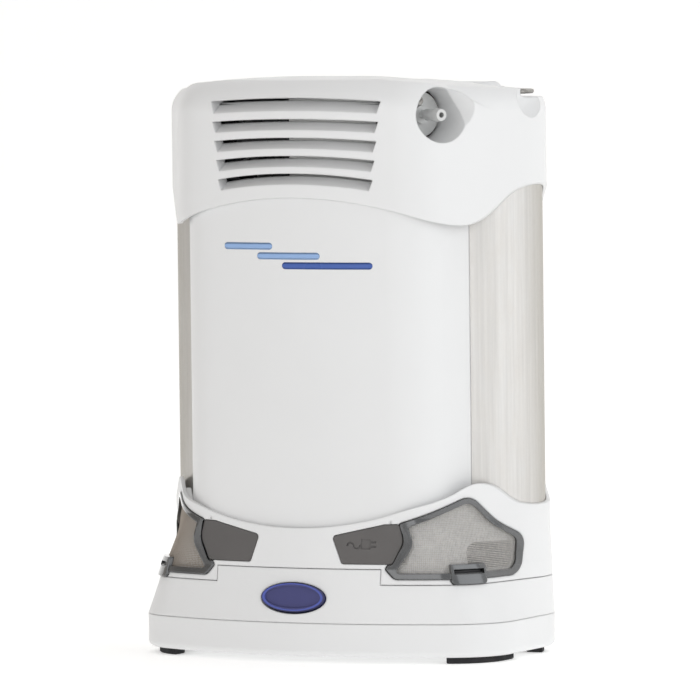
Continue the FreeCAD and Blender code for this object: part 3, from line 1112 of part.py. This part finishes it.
for step in (make_feet, make_battery_case_lower, make_battery_case_upper, make_battery_cells,
             make_battery_board,
             make_battery_contacts, make_release_button, make_latch_bar, make_button_spring,
             make_lower_housing,
             make_filter_frame, make_filter_mesh, make_port_doors, make_ports, make_columns, make_panels,
             make_top_cap,
             make_outlet, make_strap_rings, make_control_panel, make_fan, make_compressor,
             make_pneumatics, make_screws):
    step()
doc.recompute()

os.makedirs("parts", exist_ok=True)
for obj in doc.Objects:
    if "Invalid" in obj.State or "Error" in obj.State:
        raise RuntimeError(f"{obj.Name} did not recompute")
for obj in NODES:
    if obj.Shape.isNull() or not obj.Shape.isValid():
        raise RuntimeError(f"{obj.Label} is not a valid shape")
    obj.Shape.exportStep(f"parts/{obj.Label}.step")
print(len(NODES), "parts")
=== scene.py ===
"""Looks of the portable oxygen concentrator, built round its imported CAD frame.

Everything is in metres in the row frame: +X right, +Y back, +Z up, the front faces -Y.
"""

import json
import math

import bpy
from mathutils import Matrix, Vector
from mathutils.bvhtree import BVHTree


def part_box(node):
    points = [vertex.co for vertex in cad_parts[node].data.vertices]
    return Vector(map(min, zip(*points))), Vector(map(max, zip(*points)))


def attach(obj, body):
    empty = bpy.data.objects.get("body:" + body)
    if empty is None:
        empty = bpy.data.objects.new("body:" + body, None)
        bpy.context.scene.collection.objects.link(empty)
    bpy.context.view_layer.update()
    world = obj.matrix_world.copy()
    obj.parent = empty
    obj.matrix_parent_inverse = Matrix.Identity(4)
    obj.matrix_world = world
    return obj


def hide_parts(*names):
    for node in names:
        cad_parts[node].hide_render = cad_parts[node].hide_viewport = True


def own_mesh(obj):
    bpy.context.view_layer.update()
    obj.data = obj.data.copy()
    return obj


MM = 0.001

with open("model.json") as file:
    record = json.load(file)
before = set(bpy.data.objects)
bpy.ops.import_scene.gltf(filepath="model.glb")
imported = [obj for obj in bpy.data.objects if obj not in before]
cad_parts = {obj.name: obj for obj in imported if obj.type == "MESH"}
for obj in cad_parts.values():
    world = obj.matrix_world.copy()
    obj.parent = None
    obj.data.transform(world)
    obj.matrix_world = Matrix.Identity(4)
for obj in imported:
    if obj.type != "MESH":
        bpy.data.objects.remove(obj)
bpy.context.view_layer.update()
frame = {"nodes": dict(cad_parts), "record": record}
nodes = frame["nodes"]
slot_of = {part["node"]: part["material_slot"] for part in frame["record"]["subparts"]}


# ---------------------------------------------------------------- material building
class Shader:
    """A Principled material and short calls that add procedural detail to it."""

    def __init__(self, name, colour, roughness, metallic=0.0):
        self.material = bpy.data.materials.new(name)
        self.material.use_nodes = True
        self.tree = self.material.node_tree
        self.bsdf = self.tree.nodes["Principled BSDF"]
        self.colour = colour
        self.set("Base Color", (*colour, 1.0))
        self.set("Roughness", roughness)
        self.set("Metallic", metallic)

    def set(self, socket, value):
        self.bsdf.inputs[socket].default_value = value
        return self

    def node(self, kind, **inputs):
        made = self.tree.nodes.new(kind)
        for key, value in inputs.items():
            made.inputs[key.replace("_", " ")].default_value = value
        return made

    def link(self, source, target):
        self.tree.links.new(source, target)

    def coordinates(self, stretch=(1, 1, 1), shift=(0, 0, 0)):
        """Object coordinates, which are the row frame in metres, stretched and then shifted if wanted."""
        source = self.node("ShaderNodeTexCoord")
        mapping = self.node("ShaderNodeMapping", Scale=stretch, Location=shift)
        self.link(source.outputs["Object"], mapping.inputs["Vector"])
        return mapping.outputs["Vector"]

    def noise(self, scale, detail=3.0, roughness=0.55, stretch=(1, 1, 1), distortion=0.0):
        made = self.node("ShaderNodeTexNoise", Scale=scale, Detail=detail, Roughness=roughness,
                         Distortion=distortion)
        self.link(self.coordinates(stretch), made.inputs["Vector"])
        return made.outputs["Fac"]

    def spread(self, value, low, high, from_low=0.3, from_high=0.7):
        """Maps a noise value onto low..high."""
        made = self.node("ShaderNodeMapRange")
        limits = {"From Min": from_low, "From Max": from_high, "To Min": low, "To Max": high}
        for socket, number in limits.items():
            made.inputs[socket].default_value = number
        self.link(value, made.inputs["Value"])
        return made.outputs["Result"]

    def combine(self, operation, first, second):
        """One arithmetic step on two values."""
        made = self.node("ShaderNodeMath")
        made.operation = operation
        self.link(first, made.inputs[0])
        self.link(second, made.inputs[1])
        return made.outputs[0]

    def mix(self, factor, first, second):
        made = self.tree.nodes.new("ShaderNodeMix")
        made.data_type = "RGBA"
        colours = [socket for socket in made.inputs if socket.type == "RGBA"]
        for socket, value in zip(colours, (first, second)):
            if isinstance(value, tuple):
                socket.default_value = (*value, 1.0)
            else:
                self.link(value, socket)
        if isinstance(factor, float):
            made.inputs[0].default_value = factor
        else:
            self.link(factor, made.inputs[0])
        return next(socket for socket in made.outputs if socket.type == "RGBA")

    def paint(self, colour_output):
        self.link(colour_output, self.bsdf.inputs["Base Color"])
        return self

    def vary(self, scale, amount, detail=3.0, stretch=(1, 1, 1)):
        """Lightens and darkens the base colour gently."""
        factor = self.spread(self.noise(scale, detail, stretch=stretch), 0.0, 1.0)
        dark = tuple(c * (1 - amount) for c in self.colour)
        light = tuple(min(1.0, c * (1 + amount)) for c in self.colour)
        return self.paint(self.mix(factor, dark, light))

    def rough(self, scale, low, high, detail=4.0, stretch=(1, 1, 1)):
        value = self.spread(self.noise(scale, detail, stretch=stretch), low, high)
        self.link(value, self.bsdf.inputs["Roughness"])
        return self

    def grazing(self, start, end):
        """0 where the surface faces the viewer, rising to 1 where it turns away."""
        weight = self.node("ShaderNodeLayerWeight", Blend=0.5)
        return self.spread(weight.outputs["Facing"], 0.0, 1.0, start, end)

    def bump(self, *layers, edge=0.0):
        """Adds bump from layers of (height output, strength, metres), over edges rounded by edge."""
        normal = None
        if edge:
            rounded = self.node("ShaderNodeBevel", Radius=edge)
            rounded.samples = 6
            normal = rounded.outputs["Normal"]
        for height, strength, distance in layers:
            made = self.node("ShaderNodeBump", Strength=strength, Distance=distance)
            self.link(height, made.inputs["Height"])
            if normal is not None:
                self.link(normal, made.inputs["Normal"])
            normal = made.outputs["Normal"]
        self.link(normal, self.bsdf.inputs["Normal"])
        return self


def moulded(name, colour, roughness, grain=2600.0, depth=0.000012, coat=0.0, mottle=0.02, edge=0.4 * MM):
    """Injection-moulded plastic: a fine spark-eroded grain, a little colour drift and gloss drift."""
    shader = Shader(name, colour, roughness)
    shader.vary(22.0, mottle)
    shader.rough(60.0, roughness * 0.88, roughness * 1.14)
    shader.bump((shader.noise(grain, 2.0), 0.35, depth), (shader.noise(38.0, 1.0), 0.05, 0.0004), edge=edge)
    shader.set("Coat Weight", coat).set("Coat Roughness", 0.18).set("IOR", 1.48)
    return shader.material


def mill_aluminium(name, colour):
    """Extruded tube: fine lines and streaks along its length, an oxide bloom, and painted shade that darkens
    it where it turns away from the viewer.
    """
    shader = Shader(name, colour, 0.3, 1.0)
    streaks = shader.spread(shader.noise(420.0, 4.0, 0.6, (1, 1, 0.03)), 0.0, 1.0, 0.32, 0.68)
    bloom = shader.spread(shader.noise(130.0, 6.0, 0.72, (1, 1, 0.3), 0.4), 0.0, 1.0, 0.36, 0.68)
    dark = tuple(c * 0.90 for c in colour)
    light = tuple(min(1.0, c * 1.05) for c in colour)
    lined = shader.mix(streaks, dark, light)
    warm = (colour[0], colour[1] * 0.97, colour[2] * 0.93)
    metal_colour = shader.mix(bloom, lined, shader.mix(0.4, lined, warm))
    # painted shade: the colour darkens towards the tube's edges as they turn away from the viewer
    painted_edge_shade = shader.mix(0.75, metal_colour, tuple(c * s for c, s in zip(colour, (0.62, 0.60, 0.55))))
    shader.paint(shader.mix(shader.grazing(0.30, 0.80), metal_colour, painted_edge_shade))
    speckle = shader.noise(1100.0, 3.0, 0.7, (1, 1, 0.4))
    gloss = shader.combine("ADD", shader.spread(bloom, 0.40, 0.50, 0.0, 1.0),
                           shader.spread(speckle, -0.05, 0.07))
    shader.link(gloss, shader.bsdf.inputs["Roughness"])
    shader.bump((shader.noise(1500.0, 3.0, 0.6, (1, 1, 0.02)), 0.3, 0.00002),
                (shader.noise(160.0, 4.0, 0.6, (1, 1, 0.25)), 0.12, 0.00008))
    shader.set("Anisotropic", 0.35)
    return shader.material


def metal(name, colour, roughness, grain, depth):
    """Bare metal with an even grain."""
    shader = Shader(name, colour, roughness, 1.0)
    shader.vary(grain * 0.1, 0.06, 4.0)
    shader.rough(grain * 0.25, roughness * 0.75, roughness * 1.25)
    return shader.bump((shader.noise(grain, 3.0), 0.5, depth)).material


def cast_zinc(name, colour):
    """Satin die casting: softly metallic, with a fine tumbled grain."""
    shader = Shader(name, colour, 0.42, 0.35)
    shader.vary(140.0, 0.06)
    shader.rough(350.0, 0.34, 0.52)
    return shader.bump((shader.noise(1400.0, 3.0), 0.5, 0.00003), edge=0.2 * MM).material


def button_plastic(name, colour, rim_highlight_colour, centre, half):
    """Button with an oval face: a painted highlight makes a brighter rim round the face, and painted shade
    darkens the wall below it.
    """
    shader = Shader(name, colour, 0.38)
    spot = shader.coordinates(tuple(1 / h for h in half), tuple(-c / h for c, h in zip(centre, half)))
    length = shader.node("ShaderNodeVectorMath")
    length.operation = "LENGTH"
    shader.link(spot, length.inputs[0])
    reach = length.outputs["Value"]
    # painted highlight: a brighter band of colour round the edge of the face
    rim_highlight = shader.combine("MULTIPLY", shader.spread(reach, 0.0, 1.0, 0.885, 0.915),
                         shader.spread(reach, 1.0, 0.0, 0.965, 0.995))
    # painted shade: darker colour on the wall below the face
    wall_shade = shader.spread(reach, 0.0, 1.0, 0.985, 1.02)
    drift = shader.spread(shader.noise(30.0), 0.0, 1.0)
    face = shader.mix(drift, colour, tuple(c * 1.12 for c in colour))
    wall_shaded = shader.mix(wall_shade, face, tuple(c * 0.55 for c in colour))
    shader.paint(shader.mix(rim_highlight, wall_shaded, rim_highlight_colour))
    shader.rough(60.0, 0.33, 0.46)
    return shader.bump((shader.noise(1700.0, 2.0), 0.35, 0.00003), edge=0.5 * MM).material


def smoke_plastic(name, colour):
    """Polished grey clip frame: a dark sheen with bright rounded edges and faint polishing marks."""
    shader = Shader(name, colour, 0.2, 0.75)
    shader.vary(45.0, 0.12)
    shader.rough(120.0, 0.09, 0.18)
    shader.bump((shader.noise(420.0, 2.0), 0.12, 0.00003), edge=0.8 * MM)
    shader.set("Coat Weight", 1.0).set("Coat Roughness", 0.06)
    return shader.material


def rubber(name, colour, roughness=0.75):
    """Soft moulded rubber or silicone with a matt, slightly uneven skin."""
    shader = Shader(name, colour, roughness)
    shader.vary(90.0, 0.25)
    shader.rough(200.0, roughness * 0.85, min(1.0, roughness * 1.15))
    return shader.bump((shader.noise(1800.0, 2.0), 0.6, 0.00004)).set("Specular IOR Level", 0.35).material


def woven_thread(name, colour):
    """Fine polymer thread with a little sheen, and painted shade that darkens the left screen more than the
    right.
    """
    shader = Shader(name, colour, 0.5)
    threads = shader.spread(shader.noise(700.0), 0.0, 1.0)
    unshaded_threads = shader.mix(threads, tuple(c * 0.84 for c in colour), tuple(c * 1.16 for c in colour))
    split = shader.node("ShaderNodeSeparateXYZ")
    shader.link(shader.coordinates(), split.inputs["Vector"])
    # painted shade: the thread colour darkens from x = +40 mm to x = -40 mm, so the left screen looks shaded
    shade_fade = shader.spread(split.outputs["X"], 0.0, 1.0, -40 * MM, 40 * MM)
    shader.paint(shader.mix(shade_fade, THREAD_PAINTED_SHADE, unshaded_threads))
    shader.rough(900.0, 0.38, 0.62)
    shader.bump((shader.noise(9000.0, 2.0), 0.3, 0.00001))
    return shader.set("Sheen Weight", 0.15).material


def circuit_board(name, colour):
    """Solder mask over copper: paler tracks show through the green."""
    shader = Shader(name, colour, 0.35)
    voronoi = shader.node("ShaderNodeTexVoronoi", Scale=190.0)
    voronoi.distance = "MANHATTAN"
    shader.link(shader.coordinates(), voronoi.inputs["Vector"])
    tracks = shader.spread(voronoi.outputs["Distance"], 0.0, 1.0, 0.34, 0.4)
    shader.paint(shader.mix(tracks, colour, tuple(c * 1.9 + 0.01 for c in colour)))
    shader.rough(200.0, 0.26, 0.44)
    return shader.bump((tracks, 0.3, 0.00004)).material


def beads(name, colour):
    """Packed sieve beads."""
    shader = Shader(name, colour, 0.85)
    voronoi = shader.node("ShaderNodeTexVoronoi", Scale=700.0)
    shader.link(shader.coordinates(), voronoi.inputs["Vector"])
    shader.vary(300.0, 0.18)
    return shader.bump((voronoi.outputs["Distance"], 0.9, 0.0003)).material


def clear_window(name, colour):
    """Tinted glossy window with a clear coat."""
    shader = Shader(name, colour, 0.08)
    shader.vary(60.0, 0.2)
    shader.rough(150.0, 0.05, 0.12)
    return shader.bump((shader.noise(90.0, 1.0), 0.05, 0.00005)).set("Coat Weight", 1.0).material


WHITE = (0.80, 0.805, 0.81)
# colour of the painted shade on the left screen's threads
THREAD_PAINTED_SHADE = (0.40, 0.35, 0.30)
BUTTON_CENTRE = (0.0, 0.0, 30.0 * MM)
BUTTON_HALF = (15.6 * MM, 1.0, 6.4 * MM)
MATERIALS = {
    "housing_white": moulded("housing_white", WHITE, 0.42, coat=0.12, mottle=0.008, edge=1.1 * MM),
    "baffle_white": moulded("baffle_white", (0.72, 0.72, 0.71), 0.55, mottle=0.02),
    "foot_rubber": rubber("foot_rubber", (0.022, 0.022, 0.024)),
    "tube_aluminium": mill_aluminium("tube_aluminium", (0.70, 0.69, 0.675)),
    "smoke_plastic": smoke_plastic("smoke_plastic", (0.115, 0.118, 0.122)),
    "mesh_fabric": woven_thread("mesh_thread", (0.62, 0.60, 0.575)),
    "door_plastic": moulded("door_plastic", (0.112, 0.106, 0.104), 0.5, 1700.0, 0.00003, mottle=0.05),
    # the second colour is the painted highlight on the button's rim
    "button_blue": button_plastic("button_blue", (0.047, 0.050, 0.170), (0.075, 0.105, 0.42),
                                  BUTTON_CENTRE, BUTTON_HALF),
    "outlet_zinc": cast_zinc("outlet_zinc", (0.60, 0.605, 0.60)),
    "bright_steel": metal("bright_steel", (0.30, 0.29, 0.275), 0.28, 1600.0, 0.00001),
    "panel_grey": moulded("panel_grey", (0.30, 0.33, 0.37), 0.42, 1900.0, mottle=0.03),
    "key_grey": rubber("key_grey", (0.55, 0.57, 0.6), 0.55),
    "key_blue": rubber("key_blue", (0.06, 0.10, 0.34), 0.5),
    "lamp_plastic": clear_window("lamp_plastic", (0.10, 0.42, 0.16)),
    "display_glass": clear_window("display_glass", (0.035, 0.05, 0.045)),
    "black_plastic": moulded("black_plastic", (0.028, 0.028, 0.03), 0.45, 1800.0, 0.00003, mottle=0.1),
    "board_green": circuit_board("board_green", (0.012, 0.10, 0.045)),
    "contact_gold": metal("contact_gold", (0.78, 0.56, 0.22), 0.2, 1500.0, 0.00001),
    "cell_wrap": moulded("cell_wrap", (0.05, 0.20, 0.42), 0.3, mottle=0.08),
    "cast_aluminium": metal("cast_aluminium", (0.55, 0.55, 0.55), 0.48, 900.0, 0.00006),
    "motor_steel": metal("motor_steel", (0.42, 0.42, 0.43), 0.34, 1300.0, 0.00002),
    "media_beige": beads("media_beige", (0.58, 0.49, 0.36)),
    "ring_rubber": rubber("ring_rubber", (0.03, 0.02, 0.02), 0.5),
    "hose_silicone": rubber("hose_silicone", (0.62, 0.62, 0.60), 0.4),
    "tank_plastic": moulded("tank_plastic", (0.5, 0.52, 0.55), 0.45, mottle=0.04),
    "graphic_light": moulded("graphic_light", (0.30, 0.46, 0.76), 0.3, mottle=0.03),
    "graphic_dark": moulded("graphic_dark", (0.055, 0.12, 0.42), 0.3, mottle=0.04),
}


for name, obj in nodes.items():
    obj.data.materials.clear()
    obj.data.materials.append(MATERIALS[slot_of[name]])


# ---------------------------------------------------------------- surface tools
def surface_of(*names):
    """A ray-castable copy of CAD nodes at rest."""
    vertices, faces = [], []
    for name in names:
        start = len(vertices)
        mesh = nodes[name].data
        vertices += [v.co.copy() for v in mesh.vertices]
        faces += [[start + i for i in polygon.vertices] for polygon in mesh.polygons]
    return BVHTree.FromPolygons(vertices, faces)


def new_piece(name, vertices, faces, body, slot):
    mesh = bpy.data.meshes.new(name)
    mesh.from_pydata(vertices, [], faces)
    mesh.update()
    for polygon in mesh.polygons:
        polygon.use_smooth = True
    obj = bpy.data.objects.new(name, mesh)
    bpy.context.scene.collection.objects.link(obj)
    mesh.materials.append(MATERIALS[slot])
    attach(obj, body)
    return obj


def add_tube(vertices, faces, path, radius, sides=5):
    """Appends a closed thin tube along path."""
    count = len(path)
    start = len(vertices)
    for i, point in enumerate(path):
        ahead = (path[min(i + 1, count - 1)] - path[max(i - 1, 0)]).normalized()
        side = ahead.cross(Vector((0.31, 0.59, 0.74))).normalized()
        rise = ahead.cross(side)
        for k in range(sides):
            angle = 2 * math.pi * k / sides
            vertices.append(point + side * (radius * math.cos(angle)) + rise * (radius * math.sin(angle)))
    for i in range(count - 1):
        for k in range(sides):
            a, b = start + i * sides + k, start + i * sides + (k + 1) % sides
            faces.append((a, b, b + sides, a + sides))
    faces.append(tuple(start + k for k in reversed(range(sides))))
    faces.append(tuple(start + (count - 1) * sides + k for k in range(sides)))


# ---------------------------------------------------------------- woven filter screens
FILTER_TURN = math.radians(50.0)
THREAD_PITCH = 0.80 * MM
THREAD_RADIUS = 0.15 * MM
WEAVE_SWING = 0.12 * MM
WEAVE_SINK = 0.22 * MM


def filter_screen(side, body, node_name):
    """A plain weave of threads that follows the curved screen the CAD sheet stands for."""
    sheet = surface_of(node_name)
    low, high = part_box(node_name)
    along = Vector((side * math.cos(FILTER_TURN), math.sin(FILTER_TURN), 0.0))
    out = Vector((side * math.sin(FILTER_TURN), -math.cos(FILTER_TURN), 0.0))
    corners = [Vector((x, y, 0)).dot(along) for x in (low.x, high.x) for y in (low.y, high.y)]
    first, last = min(corners), max(corners)
    columns = int((last - first) / THREAD_PITCH) + 1
    rows = int((high.z - low.z) / THREAD_PITCH) + 1

    grid = {}
    for i in range(columns):
        for j in range(rows):
            base = along * (first + i * THREAD_PITCH) + Vector((0, 0, low.z + j * THREAD_PITCH))
            hit, _normal, _index, _distance = sheet.ray_cast(base + out * 0.2, -out)
            if hit is not None:
                grid[i, j] = hit - out * WEAVE_SINK
    vertices, faces = [], []

    def lay(cells, phase):
        run = []
        for cell in cells + [None]:
            if cell in grid:
                swing = WEAVE_SWING if (cell[0] + cell[1] + phase) % 2 else -WEAVE_SWING
                run.append(grid[cell] + out * swing)
                continue
            if len(run) > 2:
                add_tube(vertices, faces, run, THREAD_RADIUS)
            run = []

    for j in range(rows):
        lay([(i, j) for i in range(columns)], 0)
    for i in range(columns):
        lay([(i, j) for j in range(rows)], 1)
    screen = new_piece(node_name.replace("mesh", "weave"), vertices, faces, body, "mesh_fabric")
    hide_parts(node_name)
    return screen


filter_screen(1, "right_filter", "right_filter_mesh")
filter_screen(-1, "left_filter", "left_filter_mesh")


# ---------------------------------------------------------------- button spring
STEPS_PER_TURN = 28


def coil_spring(wire, turns, body):
    """The coil behind the release button, made at its rest length (in use it shortens as the button goes
    in).
    """
    low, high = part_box("button_spring")
    middle = (low + high) / 2
    radius = (high.z - low.z) / 2 - wire
    steps = turns * STEPS_PER_TURN
    path = []
    for i in range(steps + 1):
        angle = 2 * math.pi * turns * i / steps
        reach = low.y + wire + (high.y - low.y - 2 * wire) * i / steps
        path.append(Vector((middle.x + radius * math.cos(angle), reach,
                            middle.z + radius * math.sin(angle))))
    vertices, faces = [], []
    add_tube(vertices, faces, path, wire, 10)
    spring = new_piece("button_coil", vertices, faces, body, slot_of["button_spring"])
    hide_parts("button_spring")
    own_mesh(spring)
    return spring


coil_spring(0.36 * MM, 5, "housing")


# ---------------------------------------------------------------- thin patches laid on a surface
FAR_OUT = 0.2
INSIDE_POCKET = 18 * MM


def facing(turn):
    """The level directions along and straight out of a surface facing turn degrees round from the front."""
    angle = math.radians(turn)
    return Vector((math.cos(angle), math.sin(angle), 0.0)), Vector((math.sin(angle), -math.cos(angle), 0.0))


def thin_piece(name, vertices, faces, thickness, body, slot):
    """A sheet given its thickness towards the surface below it."""
    piece = new_piece(name, vertices, faces, body, slot)
    thick = piece.modifiers.new("thick", "SOLIDIFY")
    thick.thickness = thickness
    thick.offset = -1.0
    return piece


def laid_patch(name, node_name, outline_at, steps, turn, lift, body, slot):
    """A thin strip laid on a CAD surface; outline_at(0..1) gives its place along, low z and high z."""
    surface = surface_of(node_name)
    along, out = facing(turn)
    rows = 4
    vertices, faces = [], []
    for i in range(steps + 1):
        place, low, high = outline_at(i / steps)
        for k in range(rows + 1):
            start = along * place + Vector((0, 0, low + (high - low) * k / rows)) + out * FAR_OUT
            vertices.append(surface.ray_cast(start, -out)[0] + out * lift)
    for i in range(steps):
        for k in range(rows):
            a = i * (rows + 1) + k
            faces.append((a, a + rows + 1, a + rows + 2, a + 1))
    return thin_piece(name, vertices, faces, lift, body, slot)


def ring_patch(name, node_name, centre, turn, inner, outer, lift, body, slot):
    """A flat ring laid on the bottom of a recess that opens turn degrees round from the front."""
    surface = surface_of(node_name)
    along, out = facing(turn)
    steps = 72
    vertices, faces = [], []
    for i in range(steps):
        angle = 2 * math.pi * i / steps
        spoke = along * math.cos(angle) + Vector((0, 0, math.sin(angle)))
        for radius in (inner, outer):
            hit = surface.ray_cast(centre + spoke * radius + out * INSIDE_POCKET, -out)[0]
            vertices.append(hit + out * lift)
        ahead = 2 * ((i + 1) % steps)
        faces.append((2 * i, 2 * i + 1, ahead + 1, ahead))
    return thin_piece(name, vertices, faces, lift, body, slot)


def round_bar(centre_x, centre_z, length, height):
    """Outline of a bar with round ends."""
    radius = height / 2

    def at(t):
        x = -length / 2 * math.cos(math.pi * t)
        inner = max(abs(x) - (length / 2 - radius), 0.0)
        reach = max(math.sqrt(max(radius ** 2 - inner ** 2, 0.0)), 0.02 * MM)
        return centre_x + x, centre_z - reach, centre_z + reach
    return at


BAR_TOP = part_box("front_panel")[1].z - 24 * MM
BAR_HEIGHT = 3.2 * MM
BARS = {  # centre, drop and length in millimetres
    "bar_left": (-24, 0.0, 26, "graphic_light"),
    "bar_middle": (-3, 4.4, 32, "graphic_light"),
    "bar_right": (16, 8.8, 44, "graphic_dark"),
}
for bar_name, (centre, drop, length, ink) in BARS.items():
    shape = round_bar(centre * MM, BAR_TOP - drop * MM, length * MM, BAR_HEIGHT)
    laid_patch(bar_name, "front_panel", shape, 40, 0.0, 0.06 * MM, "housing", ink)

OUTLET_TURN = 60.0
OUTLET_MIDDLE = Vector((48.9 * MM, -20.8 * MM, sum(corner.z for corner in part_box("outlet_disc")) / 2))
# painted shade: a dark ring on the pocket floor round the outlet disc stands in for the shadowed gap there
ring_patch("outlet_gap_shade", "top_cap", OUTLET_MIDDLE, OUTLET_TURN, 10.5 * MM, 11.8 * MM, 0.25 * MM,
           "housing", "ring_rubber")


def clip_gap_shade(side, word):
    """A black sheet of painted shade on the floor of the slot in a filter's bottom clip, standing in for the
    slot's dark depth.
    """
    def at(t):
        return side * (18.7 + 15.1 * t) * MM, 41.0 * MM, 42.8 * MM
    laid_patch(word + "_clip_gap_shade", word + "_filter_frame", at, 16, side * math.degrees(FILTER_TURN),
               0.08 * MM, word + "_filter", "black_plastic")


clip_gap_shade(1, "right")
clip_gap_shade(-1, "left")


# ---------------------------------------------------------------- studio
def studio_floor():
    """A pale sweep: floor, curve and backdrop in one sheet."""
    width, front, bend, back, height = 6.0, -4.0, 1.4, 2.4, 4.0
    profile = [(front, 0.0), (bend, 0.0)]
    radius = back - bend
    arc_steps = 16
    for k in range(1, arc_steps + 1):
        angle = math.pi / 2 * k / arc_steps
        profile.append((bend + radius * math.sin(angle), radius * (1 - math.cos(angle))))
    profile.append((back, height))
    vertices = [(x, y, z) for y, z in profile for x in (-width, width)]
    faces = [(2 * i, 2 * i + 1, 2 * i + 3, 2 * i + 2) for i in range(len(profile) - 1)]
    mesh = bpy.data.meshes.new("studio_sweep")
    mesh.from_pydata(vertices, [], faces)
    for polygon in mesh.polygons:
        polygon.use_smooth = True
    sweep = bpy.data.objects.new("studio_sweep", mesh)
    bpy.context.scene.collection.objects.link(sweep)
    paper = Shader("studio_paper", (0.93, 0.93, 0.925), 0.8)
    paper.vary(3.0, 0.004)
    paper.set("Emission Color", (1.0, 1.0, 0.995, 1.0)).set("Emission Strength", 0.34)
    clear_from_behind(paper)
    mesh.materials.append(paper.material)


def clear_from_behind(shader):
    """Lets a camera that stands behind the sheet look through it."""
    side = shader.node("ShaderNodeNewGeometry")
    clear = shader.node("ShaderNodeBsdfTransparent")
    both = shader.node("ShaderNodeMixShader")
    output = next(node for node in shader.tree.nodes if node.type == "OUTPUT_MATERIAL")
    shader.link(side.outputs["Backfacing"], both.inputs[0])
    shader.link(shader.bsdf.outputs["BSDF"], both.inputs[1])
    shader.link(clear.outputs["BSDF"], both.inputs[2])
    shader.link(both.outputs["Shader"], output.inputs["Surface"])


def area_light(name, place, aim, size, power, colour=(1, 1, 1)):
    light = bpy.data.lights.new(name, "AREA")
    light.shape = "RECTANGLE"
    light.size, light.size_y = size
    light.energy = power
    light.color = colour
    obj = bpy.data.objects.new(name, light)
    bpy.context.scene.collection.objects.link(obj)
    obj.location = place
    obj.rotation_euler = (Vector(aim) - Vector(place)).to_track_quat("-Z", "Y").to_euler()
    return obj


def studio_light():
    centre = (0, 0, 0.14)
    area_light("key_right", (2.2, -0.35, 0.9), centre, (1.8, 1.6), 8.2, (0.97, 0.985, 1.0))
    area_light("front", (0.35, -2.3, 0.7), centre, (2.0, 1.0), 6.5, (1.0, 1.0, 1.0))
    area_light("top", (0.0, 0.1, 1.9), centre, (1.6, 1.4), 4.0)
    studio_air()


def studio_air():
    """A white room whose right side is brighter and cooler than its left."""
    world = bpy.data.worlds.new("studio_air")
    bpy.context.scene.world = world
    world.use_nodes = True
    tree = world.node_tree
    place = tree.nodes.new("ShaderNodeTexCoord")
    split = tree.nodes.new("ShaderNodeSeparateXYZ")
    ramp = tree.nodes.new("ShaderNodeValToRGB")
    spread = tree.nodes.new("ShaderNodeMapRange")
    spread.inputs["From Min"].default_value = -1.0
    ramp.color_ramp.elements[0].position = 0.05
    ramp.color_ramp.elements[0].color = (0.48, 0.45, 0.42, 1.0)
    ramp.color_ramp.elements[1].position = 0.95
    ramp.color_ramp.elements[1].color = (0.82, 0.83, 0.84, 1.0)
    background = tree.nodes["Background"]
    background.inputs["Strength"].default_value = 0.85
    tree.links.new(place.outputs["Generated"], split.inputs["Vector"])
    tree.links.new(split.outputs["X"], spread.inputs["Value"])
    tree.links.new(spread.outputs["Result"], ramp.inputs["Fac"])
    tree.links.new(ramp.outputs["Color"], background.inputs["Color"])


def studio_camera():
    """A long lens, slightly above and to the right of the front."""
    turn, drop, roll = math.radians(26.3), math.radians(3.09), math.radians(0.66)
    distance, target = 3.608, Vector((0.0, 0.005, 0.136))
    ahead = Vector((-math.sin(turn) * math.cos(drop), math.cos(turn) * math.cos(drop), -math.sin(drop)))
    side = Vector((math.cos(turn), math.sin(turn), 0.0))
    up = side.cross(ahead)
    data = bpy.data.cameras.new("view")
    data.sensor_width = 36.0
    data.lens = 402.7
    data.shift_x = 0.003
    data.shift_y = 0.0103
    data.clip_start = 0.05
    data.clip_end = 60.0
    camera = bpy.data.objects.new("view", data)
    bpy.context.scene.collection.objects.link(camera)
    turn_matrix = Matrix((side, up, -ahead)).transposed().to_4x4() @ Matrix.Rotation(-roll, 4, "Z")
    camera.matrix_world = Matrix.Translation(target - ahead * distance) @ turn_matrix
    bpy.context.scene.camera = camera


studio_floor()
studio_light()
studio_camera()
bpy.context.scene.view_settings.view_transform = "Standard"
